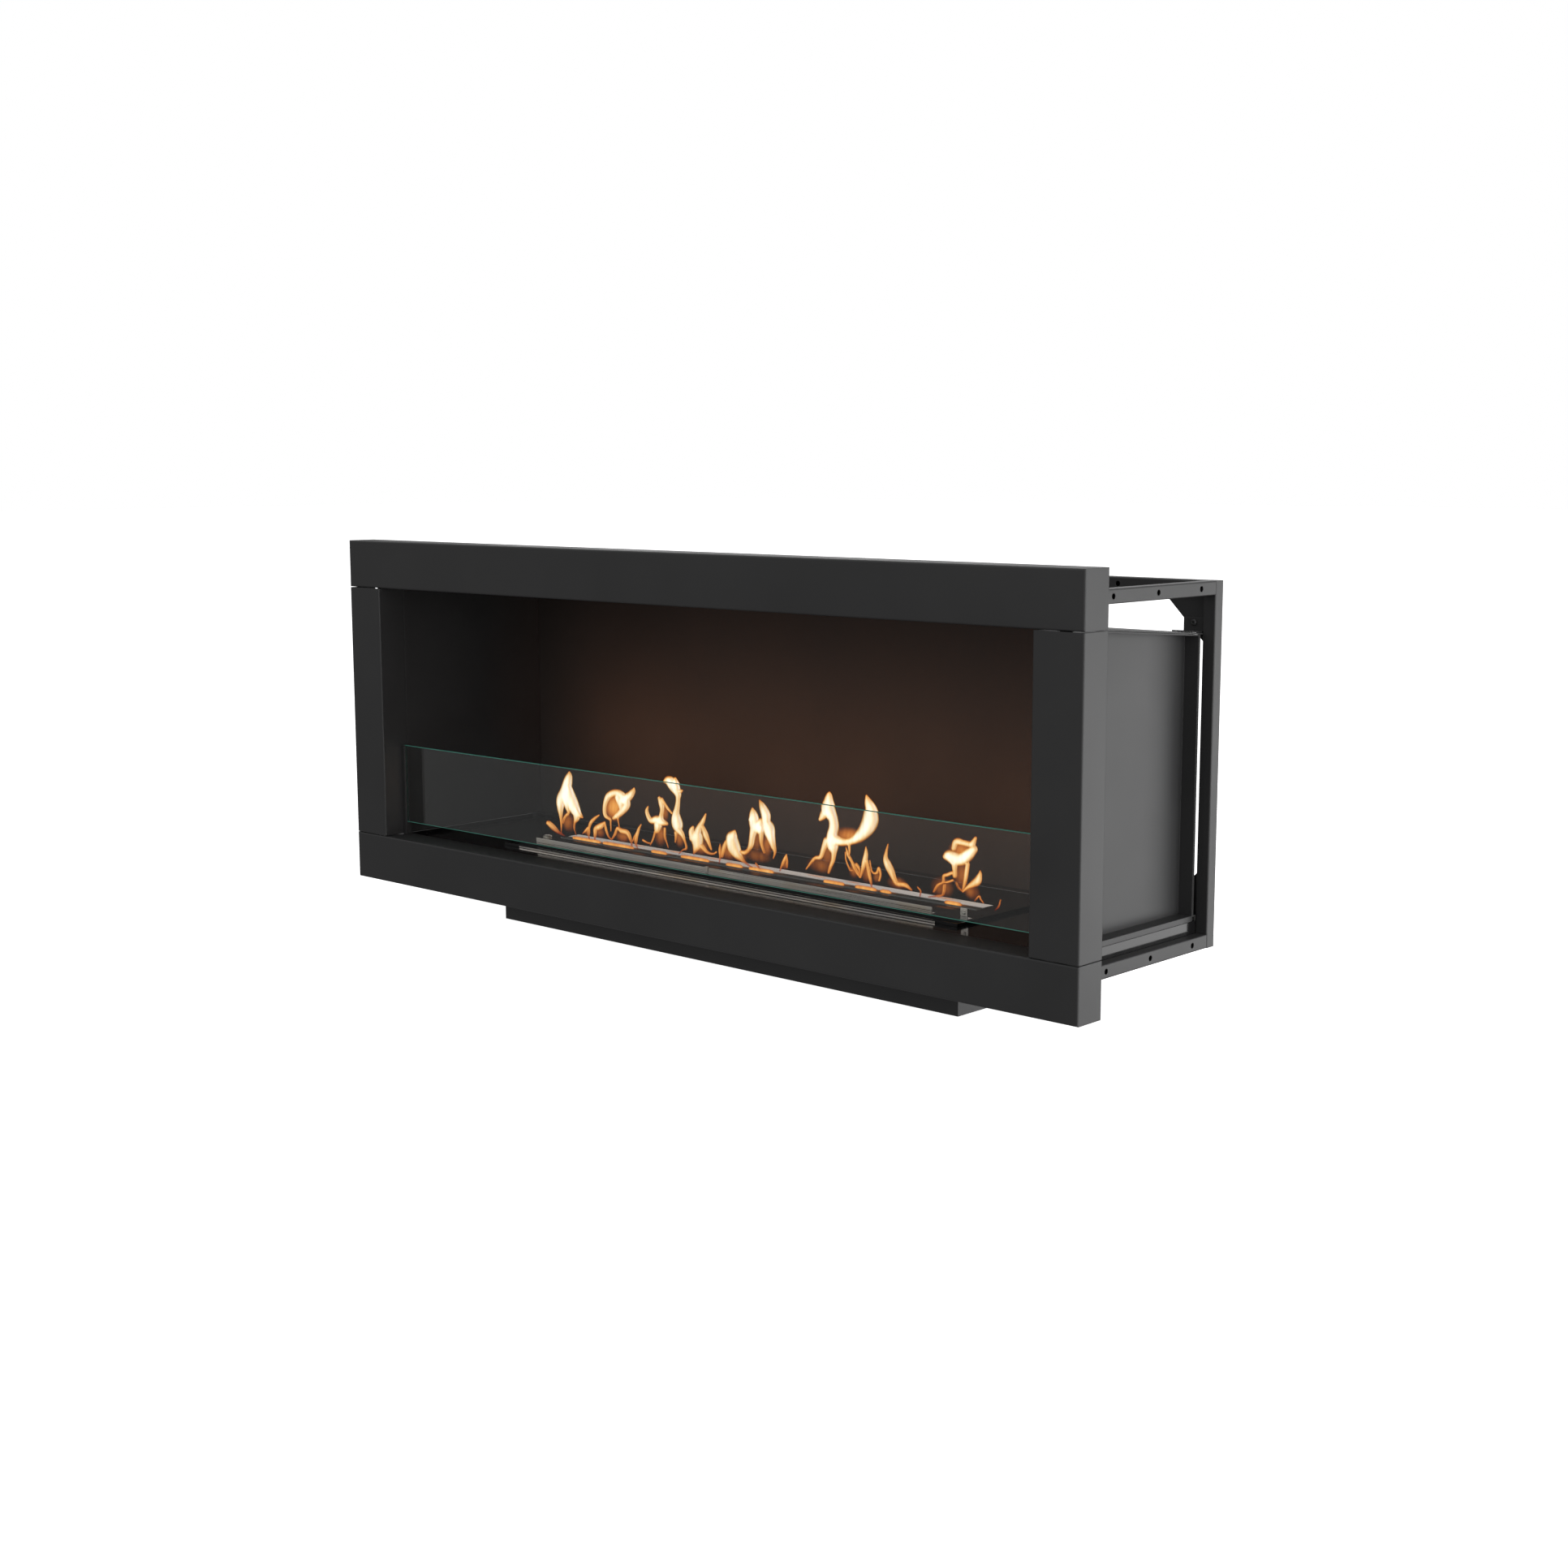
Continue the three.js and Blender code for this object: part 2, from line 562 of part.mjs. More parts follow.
// The rocker stands tilted to one side of its pivot, and tips to the other.
const ROCKER_PIVOT_DEPTH = INLET_FACE - 3;
function rocker() {
  const half = ROCKER.height / 2 - 0.6;
  const rise = 4.5;
  const points = [
    [-3, -half + 1.5],
    [rise - 0.6, -half],
    [rise - 1.2, 0],
    [rise - 0.6, half],
    [-3, half - 1.5],
  ];
  const cap = prismAlongX(points, -ROCKER.width / 2, ROCKER.width / 2).rotateX(ROCKER.tilt);
  return cap.translate(ROCKER.x, ROCKER_PIVOT_DEPTH, INLET.z);
}
add("power_rocker", rocker(), MATERIALS.plastic);

const resetLength = 9;
const resetBase = INLET_FACE + RESET.travel + 0.5 - resetLength;
const resetButton = bar("y", RESET.radius, resetLength, [RESET.x, resetBase, INLET.z], 20);
add("reset_button", resetButton, MATERIALS.ceramic);

// Burner unit: everything below lifts out of the bay as one piece.
const TRAY_HALF_LENGTH = BAY_HALF_LENGTH - 1.5;
const TRAY_FRONT = BAY_FRONT + 1.5;
const TRAY_REAR = BAY_REAR - 1.5;
const TRAY_BOTTOM = -46;
const PLATE_BOTTOM = FLOOR_TOP + GAP;
const TRAY_WALL = 2;
const TRAY_FLOOR_TOP = TRAY_BOTTOM + TRAY_WALL;
const trayLength = [-TRAY_HALF_LENGTH, TRAY_HALF_LENGTH];
const trayUp = [TRAY_FLOOR_TOP + GAP, PLATE_BOTTOM - GAP];
const trayFloor = block(trayLength, [TRAY_FRONT, TRAY_REAR], [TRAY_BOTTOM, TRAY_FLOOR_TOP]);
add("burner_tray_floor", trayFloor, MATERIALS.zinc);

// A strip folded round the front and both ends stands on the floor, and a vented wall closes the rear.
const traySides = join(
  block(trayLength, [TRAY_FRONT, TRAY_FRONT + TRAY_WALL], trayUp),
  block([-TRAY_HALF_LENGTH, -TRAY_HALF_LENGTH + TRAY_WALL], [TRAY_FRONT, TRAY_REAR], trayUp),
  block([TRAY_HALF_LENGTH - TRAY_WALL, TRAY_HALF_LENGTH], [TRAY_FRONT, TRAY_REAR], trayUp),
);
add("burner_tray_sides", traySides, MATERIALS.zinc);

const trayRearHalf = TRAY_HALF_LENGTH - TRAY_WALL - GAP;
const trayRear = block([-trayRearHalf, trayRearHalf], [TRAY_REAR - TRAY_WALL, TRAY_REAR], trayUp);
const trayVents = airSlots(AIR_SLOTS.x, [TRAY_REAR - TRAY_WALL - 1, TRAY_REAR + 1], AIR_SLOTS.z);
add("burner_tray_rear_wall", cut(trayRear, ...trayVents), MATERIALS.zinc);

// Top plate: a recessed channel along its front edge, the long flame slot, and the filler hole.
const RIM = 1.2;
const CHANNEL_REAR = 127;
const CHANNEL_FLOOR = 77;
const NECK_RADIUS = 6.5;
function topPlate() {
  const span = [-BURNER_HALF_LENGTH, BURNER_HALF_LENGTH];
  const channel = block(
    [-BURNER_HALF_LENGTH + RIM, BURNER_HALF_LENGTH - RIM],
    [BURNER_FRONT + RIM, CHANNEL_REAR],
    [CHANNEL_FLOOR, PLATE_TOP + 1],
  );
  const slot = block(
    [-SLOT_HALF_LENGTH, SLOT_HALF_LENGTH],
    [SLOT_FRONT, SLOT_REAR],
    [PLATE_BOTTOM - 1, PLATE_TOP + 1],
  );
  const plate = block(span, [BURNER_FRONT, BURNER_REAR], [PLATE_BOTTOM, PLATE_TOP]);
  const fillerHole = bar("z", NECK_RADIUS + GAP, 10, [CAP_X, CAP_DEPTH, PLATE_BOTTOM - 1], 24);
  return cut(plate, channel, slot, fillerHole);
}
add("burner_top_plate", topPlate(), MATERIALS.hotBlack);

// Bright trim along the front edge, and the low guard behind the channel with its joint clip.
const EDGE_TRIM_HALF = 455;
const edgeTrim = block(
  [-EDGE_TRIM_HALF, EDGE_TRIM_HALF],
  [BURNER_FRONT - GAP - 0.8, BURNER_FRONT - GAP],
  [PLATE_BOTTOM + 0.1, PLATE_BOTTOM + 2.6],
);
add("front_edge_trim", edgeTrim, MATERIALS.brushedSteel);

const GUARD = { x: [-441, 428], front: 130, height: 10.3, foot: 8, sheet: 1.2 };
const guardBottom = PLATE_TOP + GAP;
const guardStrip = join(
  block(
    GUARD.x,
    [GUARD.front, GUARD.front + GUARD.sheet],
    [guardBottom, guardBottom + GUARD.height],
  ),
  block(GUARD.x, [GUARD.front, GUARD.front + GUARD.foot], [guardBottom, guardBottom + GUARD.sheet]),
);
add("flame_guard", guardStrip, MATERIALS.brushedSteel);

const clipSpan = [-33, -27];
const CLIP_SHEET = 1;
const clipFront = GUARD.front - GAP - CLIP_SHEET;
const clipRear = GUARD.front + 2.5;
const clipTop = guardBottom + GUARD.height + GAP;
const clip = join(
  block(clipSpan, [clipFront, clipFront + CLIP_SHEET], [guardBottom, clipTop + CLIP_SHEET]),
  block(clipSpan, [clipFront, clipRear], [clipTop, clipTop + CLIP_SHEET]),
  block(clipSpan, [clipRear - CLIP_SHEET, clipRear], [guardBottom + 4, clipTop + CLIP_SHEET]),
);
add("guard_clip", clip, MATERIALS.brushedSteel);

// Flame trough under the slot, with a bright front lip and a deflector over its rear part.
const TROUGH_WALL = 1.5;
const TROUGH_BOTTOM = 42;
const LIP_TOP = PLATE_TOP + 1.1;
const troughX = [-SLOT_HALF_LENGTH + GAP, SLOT_HALF_LENGTH - GAP];
const troughY = [SLOT_FRONT + GAP, SLOT_REAR - GAP];
const frontLip = block(troughX, [troughY[0], troughY[0] + TROUGH_WALL], [PLATE_TOP - 4, LIP_TOP]);
const trough = join(shell(troughX, troughY, [TROUGH_BOTTOM, PLATE_TOP - 0.5], TROUGH_WALL), frontLip);
add("flame_trough", trough, MATERIALS.zinc);

const DEFLECTOR_FRONT = 215;
const DEFLECTOR_LIP = 12;
const deflectorX = [troughX[0] + TROUGH_WALL + GAP, troughX[1] - TROUGH_WALL - GAP];
const deflectorRear = troughY[1] - TROUGH_WALL - GAP;
const deflector = join(
  block(deflectorX, [DEFLECTOR_FRONT, deflectorRear], [PLATE_TOP - 1, PLATE_TOP + 0.5]),
  block(deflectorX, [DEFLECTOR_FRONT, DEFLECTOR_FRONT + 1.5], [PLATE_TOP - DEFLECTOR_LIP, PLATE_TOP]),
);
add("flame_deflector", deflector, MATERIALS.brushedSteel);

// Vaporiser tray in the trough, with its heater rod, and the glow igniter at one end.
const VAPORISER_HALF = 415;
const vaporiserFloor = TROUGH_BOTTOM + TROUGH_WALL + GAP;
const vaporiserY = [troughY[0] + TROUGH_WALL + 3, troughY[1] - TROUGH_WALL - 3];
const vaporiser = shell(
  [-VAPORISER_HALF, VAPORISER_HALF],
  vaporiserY,
  [vaporiserFloor, vaporiserFloor + 12],
  2,
);
add("vaporiser_tray", vaporiser, MATERIALS.brushedSteel);

const HEATER_RADIUS = 3.5;
const heaterZ = vaporiserFloor + 2 + GAP + HEATER_RADIUS;
const heaterY = (vaporiserY[0] + vaporiserY[1]) / 2;
const heaterHalf = VAPORISER_HALF - 6;
const heater = bar("x", HEATER_RADIUS, 2 * heaterHalf, [-heaterHalf, heaterY, heaterZ], 16);
add("heater_rod", heater, MATERIALS.zinc);

const IGNITER_X = VAPORISER_HALF + 8;
const igniter = join(
  block([IGNITER_X, IGNITER_X + 14], [heaterY - 6, heaterY + 6], [vaporiserFloor, vaporiserFloor + 22]),
  bar("x", 2, 24, [IGNITER_X - 22, heaterY, vaporiserFloor + 18], 12),
);
add("glow_igniter", igniter, MATERIALS.ceramic);

// Flame sensor bracket on the right end of the top plate.
const SENSOR = { x: [480, 492.5], front: 130, height: 17, sheet: 1.5, foot: 12 };
const sensorMidX = (SENSOR.x[0] + SENSOR.x[1]) / 2;
const sensorScrewZ = guardBottom + 10;
const sensorUpright = block(
  SENSOR.x,
  [SENSOR.front, SENSOR.front + SENSOR.sheet],
  [guardBottom, guardBottom + SENSOR.height],
);
const sensorFoot = block(
  SENSOR.x,
  [SENSOR.front, SENSOR.front + SENSOR.foot],
  [guardBottom, guardBottom + SENSOR.sheet],
);
const sensorHole = bar("y", 1.3 + GAP, 4, [sensorMidX, SENSOR.front - 1, sensorScrewZ], 16);
const sensorBracket = cut(join(sensorUpright, sensorFoot), sensorHole);
add("sensor_bracket", sensorBracket, MATERIALS.brushedSteel);
const sensorScrew = screwAlongY([sensorMidX, SENSOR.front - GAP, sensorScrewZ], 2.8, 1.3, 5);
add("sensor_bracket_screw", sensorScrew, MATERIALS.brushedSteel);

// Fuel tank in the front bay, filled through a neck that rises to the top plate.
const TANK = { x: [-482, 40], y: [118, 193], z: [-42, 60], wall: 2 };
const NECK_BORE = 4.5;
const FLOAT_PIVOT = { x: -240, y: 155, z: 50 };
function fuelTank() {
  const closed = cut(
    block(TANK.x, TANK.y, TANK.z),
    block(
      [TANK.x[0] + TANK.wall, TANK.x[1] - TANK.wall],
      [TANK.y[0] + TANK.wall, TANK.y[1] - TANK.wall],
      [TANK.z[0] + TANK.wall, TANK.z[1] - TANK.wall],
    ),
  );
  const boreStart = [CAP_X, CAP_DEPTH, TANK.z[1] - TANK.wall - 1];
  const fillerHole = bar("z", NECK_BORE, 2 * TANK.wall, boreStart, 20);
  const ears = [-5, 3.5].map((dy) =>
    block(
      [FLOAT_PIVOT.x - 4, FLOAT_PIVOT.x + 4],
      [FLOAT_PIVOT.y + dy, FLOAT_PIVOT.y + dy + 1.5],
      [FLOAT_PIVOT.z - 4, TANK.z[1] - TANK.wall + 0.5],
    ),
  );
  return join(cut(closed, fillerHole), ...ears);
}
add("fuel_tank", fuelTank(), MATERIALS.zinc);

const neckBottom = TANK.z[1] + GAP;
const neck = cut(
  bar("z", NECK_RADIUS, PLATE_TOP - neckBottom, [CAP_X, CAP_DEPTH, neckBottom], 24),
  bar("z", NECK_BORE, PLATE_TOP, [CAP_X, CAP_DEPTH, neckBottom - 1], 24),
);
add("filler_neck", neck, MATERIALS.zinc);

// Filler cap: a domed head with a plug that slides in the neck.
const CAP_RADIUS = 8;
const capBase = PLATE_TOP + GAP;
const capProfile = [
  [0, capBase - 10],
  [NECK_BORE - 0.5, capBase - 10],
  [NECK_BORE - 0.5, capBase],
  [CAP_RADIUS, capBase],
  [CAP_RADIUS, capBase + 1.8],
  [CAP_RADIUS - 0.8, capBase + 2.9],
  [CAP_RADIUS - 3, capBase + 3.7],
  [0, capBase + 4],
].map(([r, z]) => new THREE.Vector2(r, z));
const cap = new THREE.LatheGeometry(capProfile, 32).rotateX(Math.PI / 2);
add("filler_cap", join(cap).translate(CAP_X, CAP_DEPTH, 0), MATERIALS.brushedSteel);

// Float arm in the tank, hanging at its lowest when the tank is empty.
const FLOAT = { arm: 78, radius: 11, length: 40, droop: THREE.MathUtils.degToRad(46) };
function fuelFloat() {
  const arm = block([0, FLOAT.arm], [-1.2, 1.2], [-1.2, 1.2]);
  const eye = bar("y", 3, 6, [0, -3, 0], 16);
  const drum = bar("y", FLOAT.radius, FLOAT.length, [FLOAT.arm, -FLOAT.length / 2, 0], 20);
  const shape = join(arm, eye, drum).rotateY(FLOAT.droop);
  return shape.translate(FLOAT_PIVOT.x, FLOAT_PIVOT.y, FLOAT_PIVOT.z);
}
add("fuel_float", fuelFloat(), MATERIALS.brass);

// Pump beside the tank, and the line that carries fuel up to the trough.
const PUMP = { x: [62, 118], y: [130, 180], z: [-42, -8] };
const pumpMotor = { x: PUMP.x[1] - 1, y: 155, z: -25, radius: 15, length: 40 };
const LINE_X = 92;
const LINE_Y = 155;
const pump = join(
  block(PUMP.x, PUMP.y, PUMP.z),
  bar("x", pumpMotor.radius, pumpMotor.length, [pumpMotor.x, pumpMotor.y, pumpMotor.z], 24),
  bar("x", 4, PUMP.x[0] - TANK.x[1] - GAP + 1, [TANK.x[1] + GAP, LINE_Y, -30], 12),
  bar("z", 5, 6, [LINE_X, LINE_Y, PUMP.z[1] - 1], 12),
);
add("fuel_pump", pump, MATERIALS.plastic);

const lineStart = new THREE.Vector3(LINE_X, LINE_Y, PUMP.z[1] + 5 + GAP);
const lineEnd = new THREE.Vector3(LINE_X + 40, (SLOT_FRONT + SLOT_REAR) / 2, TROUGH_BOTTOM - GAP);
const LINE_PULL = new THREE.Vector3(0, 0, 32); // how far the line keeps straight at each end
const linePath = new THREE.CubicBezierCurve3(
  lineStart,
  lineStart.clone().add(LINE_PULL),
  lineEnd.clone().sub(LINE_PULL),
  lineEnd,
);
const LINE_RADIUS = 3;
const lineSection = new THREE.Shape(
  Array.from({ length: 8 }, (_, i) => {
    const turn = (i * Math.PI) / 4;
    return new THREE.Vector2(LINE_RADIUS * Math.cos(turn), LINE_RADIUS * Math.sin(turn));
  }),
);
const fuelLine = new THREE.ExtrudeGeometry(lineSection, { steps: 20, extrudePath: linePath });
add("fuel_line", fuelLine, MATERIALS.brass);

// Control board on the tray's floor, with its transformer, capacitors, relay and two stand-offs.
const BOARD = { x: [190, 400], y: [124, 188], z: -36, thickness: 1.6 };
const boardTop = BOARD.z + BOARD.thickness;
const boardSeat = boardTop - 0.5;
const standoffFoot = TRAY_BOTTOM + TRAY_WALL + GAP;
const board = join(
  block(BOARD.x, BOARD.y, [BOARD.z, boardTop]),
  block([200, 245], [132, 172], [boardSeat, boardTop + 34]),
  block([330, 350], [135, 150], [boardSeat, boardTop + 16]),
  block([360, 388], [150, 178], [boardSeat, boardTop + 4]),
  ...[262, 282, 302].map((x) => bar("z", 7, 22, [x, 145, boardSeat], 16)),
  ...BOARD.x.map((x, end) => {
    const inset = end === 0 ? 8 : -8;
    return bar("z", 3, BOARD.z - standoffFoot + 0.5, [x + inset, 180, standoffFoot], 12);
  }),
);
add("control_board", board, MATERIALS.board);

// Cooling fan for the electronics, blowing out through the slots in the tray's and the well's back.
const FAN = { x: 275, z: 2, size: 60, depth: 15, front: TRAY_REAR - TRAY_WALL - GAP - 15 };
const fanRadius = FAN.size / 2 - 2;
const fanFrame = cut(
  block(
    [FAN.x - FAN.size / 2, FAN.x + FAN.size / 2],
    [FAN.front, FAN.front + FAN.depth],
    [FAN.z - FAN.size / 2, FAN.z + FAN.size / 2],
  ),
  bar("y", fanRadius, FAN.depth + 2, [FAN.x, FAN.front - 1, FAN.z], 32),
);
const spokes = [0, 1, 2].map((i) =>
  block([0, fanRadius + 1], [FAN.front, FAN.front + 1.6], [-1.5, 1.5])
    .rotateY((i * 2 * Math.PI) / 3)
    .translate(FAN.x, 0, FAN.z),
);
const motorCup = bar("y", 9, 2, [FAN.x, FAN.front, FAN.z], 20);
add("fan_housing", join(fanFrame, ...spokes, motorCup), MATERIALS.plastic);

const BLADES = 7;
const hub = bar("y", 9.5, 10, [0, FAN.front + 3, 0], 20);
const blades = Array.from({ length: BLADES }, (_, i) =>
  block([6, fanRadius - 1.5], [-0.6, 0.6], [-4.5, 4.5])
    .rotateX(THREE.MathUtils.degToRad(50))
    .translate(0, FAN.front + 8, 0)
    .rotateY((i * 2 * Math.PI) / BLADES),
);
add("fan_impeller", join(hub, ...blades).translate(FAN.x, 0, FAN.z), MATERIALS.plastic);

const fireplace = new THREE.Group();
fireplace.add(insert);

export default fireplace;
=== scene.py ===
"""Looks of a built-in fireplace insert: studio, camera, finishes, glass screen and flames.

Everything is in metres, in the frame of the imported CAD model: x across, y from the opening
towards the back wall, z up.
"""
import math

import bmesh
import bpy
import numpy as np
from mathutils import Matrix, Vector


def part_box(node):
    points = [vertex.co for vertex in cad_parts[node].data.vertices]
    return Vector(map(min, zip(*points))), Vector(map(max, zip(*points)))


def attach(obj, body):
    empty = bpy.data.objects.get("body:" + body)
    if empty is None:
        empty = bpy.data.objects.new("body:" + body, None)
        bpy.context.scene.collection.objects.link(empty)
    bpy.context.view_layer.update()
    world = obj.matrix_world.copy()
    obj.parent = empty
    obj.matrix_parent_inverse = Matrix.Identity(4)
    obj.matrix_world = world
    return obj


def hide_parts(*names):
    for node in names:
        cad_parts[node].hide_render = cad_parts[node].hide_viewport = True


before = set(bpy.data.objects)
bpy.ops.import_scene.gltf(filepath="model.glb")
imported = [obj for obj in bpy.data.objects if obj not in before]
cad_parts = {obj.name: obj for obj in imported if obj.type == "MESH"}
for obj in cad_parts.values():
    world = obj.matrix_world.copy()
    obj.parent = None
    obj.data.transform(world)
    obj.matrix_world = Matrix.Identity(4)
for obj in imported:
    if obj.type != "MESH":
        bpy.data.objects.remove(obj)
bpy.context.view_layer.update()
scene = bpy.context.scene

# Camera.
CAMERA_PLACE = (2.3577, -2.4537, 0.7826)
CAMERA_YAW = 0.7493
CAMERA_PITCH = -0.1483
CAMERA_ROLL = -0.0024
CAMERA_LENS = 49.76
SENSOR_WIDTH = 36.0

# Studio.
BACKDROP = (1.0, 1.0, 1.0)
FILL_ABOVE = 0.52
FILL_BELOW = 0.20
FLOOR_SIZE = 60.0

# Bright steel pieces that show on the burner.
STEEL_STRIPS = ["front_edge_trim", "flame_guard", "guard_clip", "flame_deflector", "filler_cap"]
STEEL_STRIPS += ["sensor_bracket", "sensor_bracket_screw"]

# Glass screen.
ARRIS = 0.0006

# Flames stand in the plane of the burner's slot, over the surround's lower edge.
SLOT_DEPTH = 0.0130
SURROUND_BOTTOM = 0.054
FLAME_GRID = 0.00125
FLAME_MARGIN = 0.003
FLAME_FULLNESS = 0.45
THICK_FLAME = 0.0095
THINNEST_STROKE = 0.0006
VEIL_DEPTH = 0.004
VEIL_HEAT = 0.45
ROOT_LEVEL = 0.078
ROOT_RISE = 0.020
SWAY_START = 0.09
SWAY = 0.0035

# Warm light that the flames throw on the firebox.
GLOW_PLACES = (-0.42, -0.14, 0.14, 0.42)
GLOW_RADIANCE = 3.0
GLOW_COLOUR = (1.0, 0.34, 0.11)
GLOW_SPREAD = 140


# --- Node helpers -------------------------------------------------------------------------------


def new_material(name):
    """An empty node material: (material, nodes, links, principled shader)."""
    material = bpy.data.materials.new(name)
    material.use_nodes = True
    nodes = material.node_tree.nodes
    return material, nodes, material.node_tree.links, nodes["Principled BSDF"]


def object_space(nodes, links, scale=(1, 1, 1)):
    """Texture coordinates in metres, stretched by scale."""
    coordinates = nodes.new("ShaderNodeTexCoord")
    mapping = nodes.new("ShaderNodeMapping")
    mapping.inputs["Scale"].default_value = scale
    links.new(coordinates.outputs["Object"], mapping.inputs["Vector"])
    return mapping.outputs["Vector"]


def noise(nodes, links, vector, scale, detail=2.0, roughness=0.5):
    """A noise value between 0 and 1."""
    texture = nodes.new("ShaderNodeTexNoise")
    texture.inputs["Scale"].default_value = scale
    texture.inputs["Detail"].default_value = detail
    texture.inputs["Roughness"].default_value = roughness
    links.new(vector, texture.inputs["Vector"])
    return texture.outputs["Fac"]


def spread(nodes, links, value, low, high, start=0.3, end=0.7):
    """Maps value from start..end to low..high."""
    ranged = nodes.new("ShaderNodeMapRange")
    ranged.inputs["From Min"].default_value = start
    ranged.inputs["From Max"].default_value = end
    ranged.inputs["To Min"].default_value = low
    ranged.inputs["To Max"].default_value = high
    links.new(value, ranged.inputs["Value"])
    return ranged.outputs["Result"]


def ramp(nodes, links, value, stops):
    """Colours along value: stops are (position, (r, g, b))."""
    node = nodes.new("ShaderNodeValToRGB")
    elements = node.color_ramp.elements
    while len(elements) < len(stops):
        elements.new(0.5)
    for element, (position, colour) in zip(elements, stops):
        element.position = position
        element.color = (*colour, 1.0)
    links.new(value, node.inputs["Fac"])
    return node.outputs["Color"]


def rounded_normal(nodes, links, radius):
    """A normal that rounds sharp sheet edges over radius."""
    bevel = nodes.new("ShaderNodeBevel")
    bevel.samples = 4
    bevel.inputs["Radius"].default_value = radius
    return bevel.outputs["Normal"]


def bumped(nodes, links, height, strength, distance, normal=None):
    """A bump from height, on top of normal."""
    bump = nodes.new("ShaderNodeBump")
    bump.inputs["Strength"].default_value = strength
    bump.inputs["Distance"].default_value = distance
    links.new(height, bump.inputs["Height"])
    if normal is not None:
        links.new(normal, bump.inputs["Normal"])
    return bump.outputs["Normal"]


# --- Finishes -----------------------------------------------------------------------------------


def powder_coat():
    """Satin black powder coat: fine orange peel, faint cloudy sheen."""
    material, nodes, links, shader = new_material("powder_coat")
    space = object_space(nodes, links)
    clouds = noise(nodes, links, space, 5.0, 3.0)
    peel = noise(nodes, links, space, 620.0, 2.0)
    links.new(
        ramp(nodes, links, clouds, [(0.3, (0.0235, 0.0235, 0.024)), (0.7, (0.029, 0.029, 0.0295))]),
        shader.inputs["Base Color"],
    )
    links.new(spread(nodes, links, clouds, 0.40, 0.47), shader.inputs["Roughness"])
    shader.inputs["IOR"].default_value = 1.5
    edge = rounded_normal(nodes, links, 0.0012)
    links.new(bumped(nodes, links, peel, 0.10, 0.0003, edge), shader.inputs["Normal"])
    return material


def firebox_paint():
    """Matt heat-resistant black inside the firebox, a little dusty."""
    material, nodes, links, shader = new_material("firebox_paint")
    space = object_space(nodes, links)
    clouds = noise(nodes, links, space, 4.0, 4.0)
    grit = noise(nodes, links, space, 900.0, 2.0)
    links.new(
        ramp(nodes, links, clouds, [(0.3, (0.021, 0.020, 0.019)), (0.7, (0.027, 0.026, 0.025))]),
        shader.inputs["Base Color"],
    )
    links.new(spread(nodes, links, clouds, 0.52, 0.62), shader.inputs["Roughness"])
    edge = rounded_normal(nodes, links, 0.001)
    links.new(bumped(nodes, links, grit, 0.12, 0.0003, edge), shader.inputs["Normal"])
    return material


def gloss_black(name, smooth, rough):
    """Glossy heat-resistant black with faint wipe marks."""
    material, nodes, links, shader = new_material(name)
    wiped = object_space(nodes, links, (6.0, 40.0, 40.0))
    marks = noise(nodes, links, wiped, 1.0, 4.0, 0.6)
    space = object_space(nodes, links)
    waves = noise(nodes, links, space, 14.0, 1.0)
    links.new(
        ramp(nodes, links, marks, [(0.3, (0.0075, 0.0075, 0.008)), (0.7, (0.0115, 0.011, 0.011))]),
        shader.inputs["Base Color"],
    )
    links.new(spread(nodes, links, marks, smooth, rough), shader.inputs["Roughness"])
    shader.inputs["IOR"].default_value = 1.42
    edge = rounded_normal(nodes, links, 0.0008)
    links.new(bumped(nodes, links, waves, 0.03, 0.001, edge), shader.inputs["Normal"])
    return material


def brushed_steel():
    """Stainless steel brushed along x, with straw-coloured heat tint."""
    material, nodes, links, shader = new_material("brushed_steel")
    lines = noise(nodes, links, object_space(nodes, links, (3.0, 900.0, 900.0)), 1.0, 3.0, 0.6)
    tint = noise(nodes, links, object_space(nodes, links, (9.0, 30.0, 30.0)), 1.0, 2.0)
    colour = ramp(
        nodes,
        links,
        tint,
        [(0.32, (0.45, 0.44, 0.43)), (0.55, (0.52, 0.49, 0.45)), (0.74, (0.50, 0.41, 0.31))],
    )
    links.new(colour, shader.inputs["Base Color"])
    shader.inputs["Metallic"].default_value = 1.0
    links.new(spread(nodes, links, lines, 0.22, 0.42), shader.inputs["Roughness"])
    edge = rounded_normal(nodes, links, 0.0005)
    links.new(bumped(nodes, links, lines, 0.05, 0.0001, edge), shader.inputs["Normal"])
    return material


def plated_steel():
    """Zinc-plated sheet: soft spangle and a faint yellow-blue cast."""
    material, nodes, links, shader = new_material("plated_steel")
    space = object_space(nodes, links)
    cells = nodes.new("ShaderNodeTexVoronoi")
    cells.inputs["Scale"].default_value = 160.0
    links.new(space, cells.inputs["Vector"])
    clouds = noise(nodes, links, space, 22.0, 3.0)
    colour = ramp(
        nodes,
        links,
        clouds,
        [(0.3, (0.40, 0.41, 0.43)), (0.52, (0.47, 0.47, 0.46)), (0.72, (0.50, 0.48, 0.42))],
    )
    links.new(colour, shader.inputs["Base Color"])
    shader.inputs["Metallic"].default_value = 1.0
    patches = spread(nodes, links, cells.outputs["Distance"], 0.30, 0.46, 0.0, 0.8)
    links.new(patches, shader.inputs["Roughness"])
    links.new(bumped(nodes, links, clouds, 0.1, 0.0004), shader.inputs["Normal"])
    return material


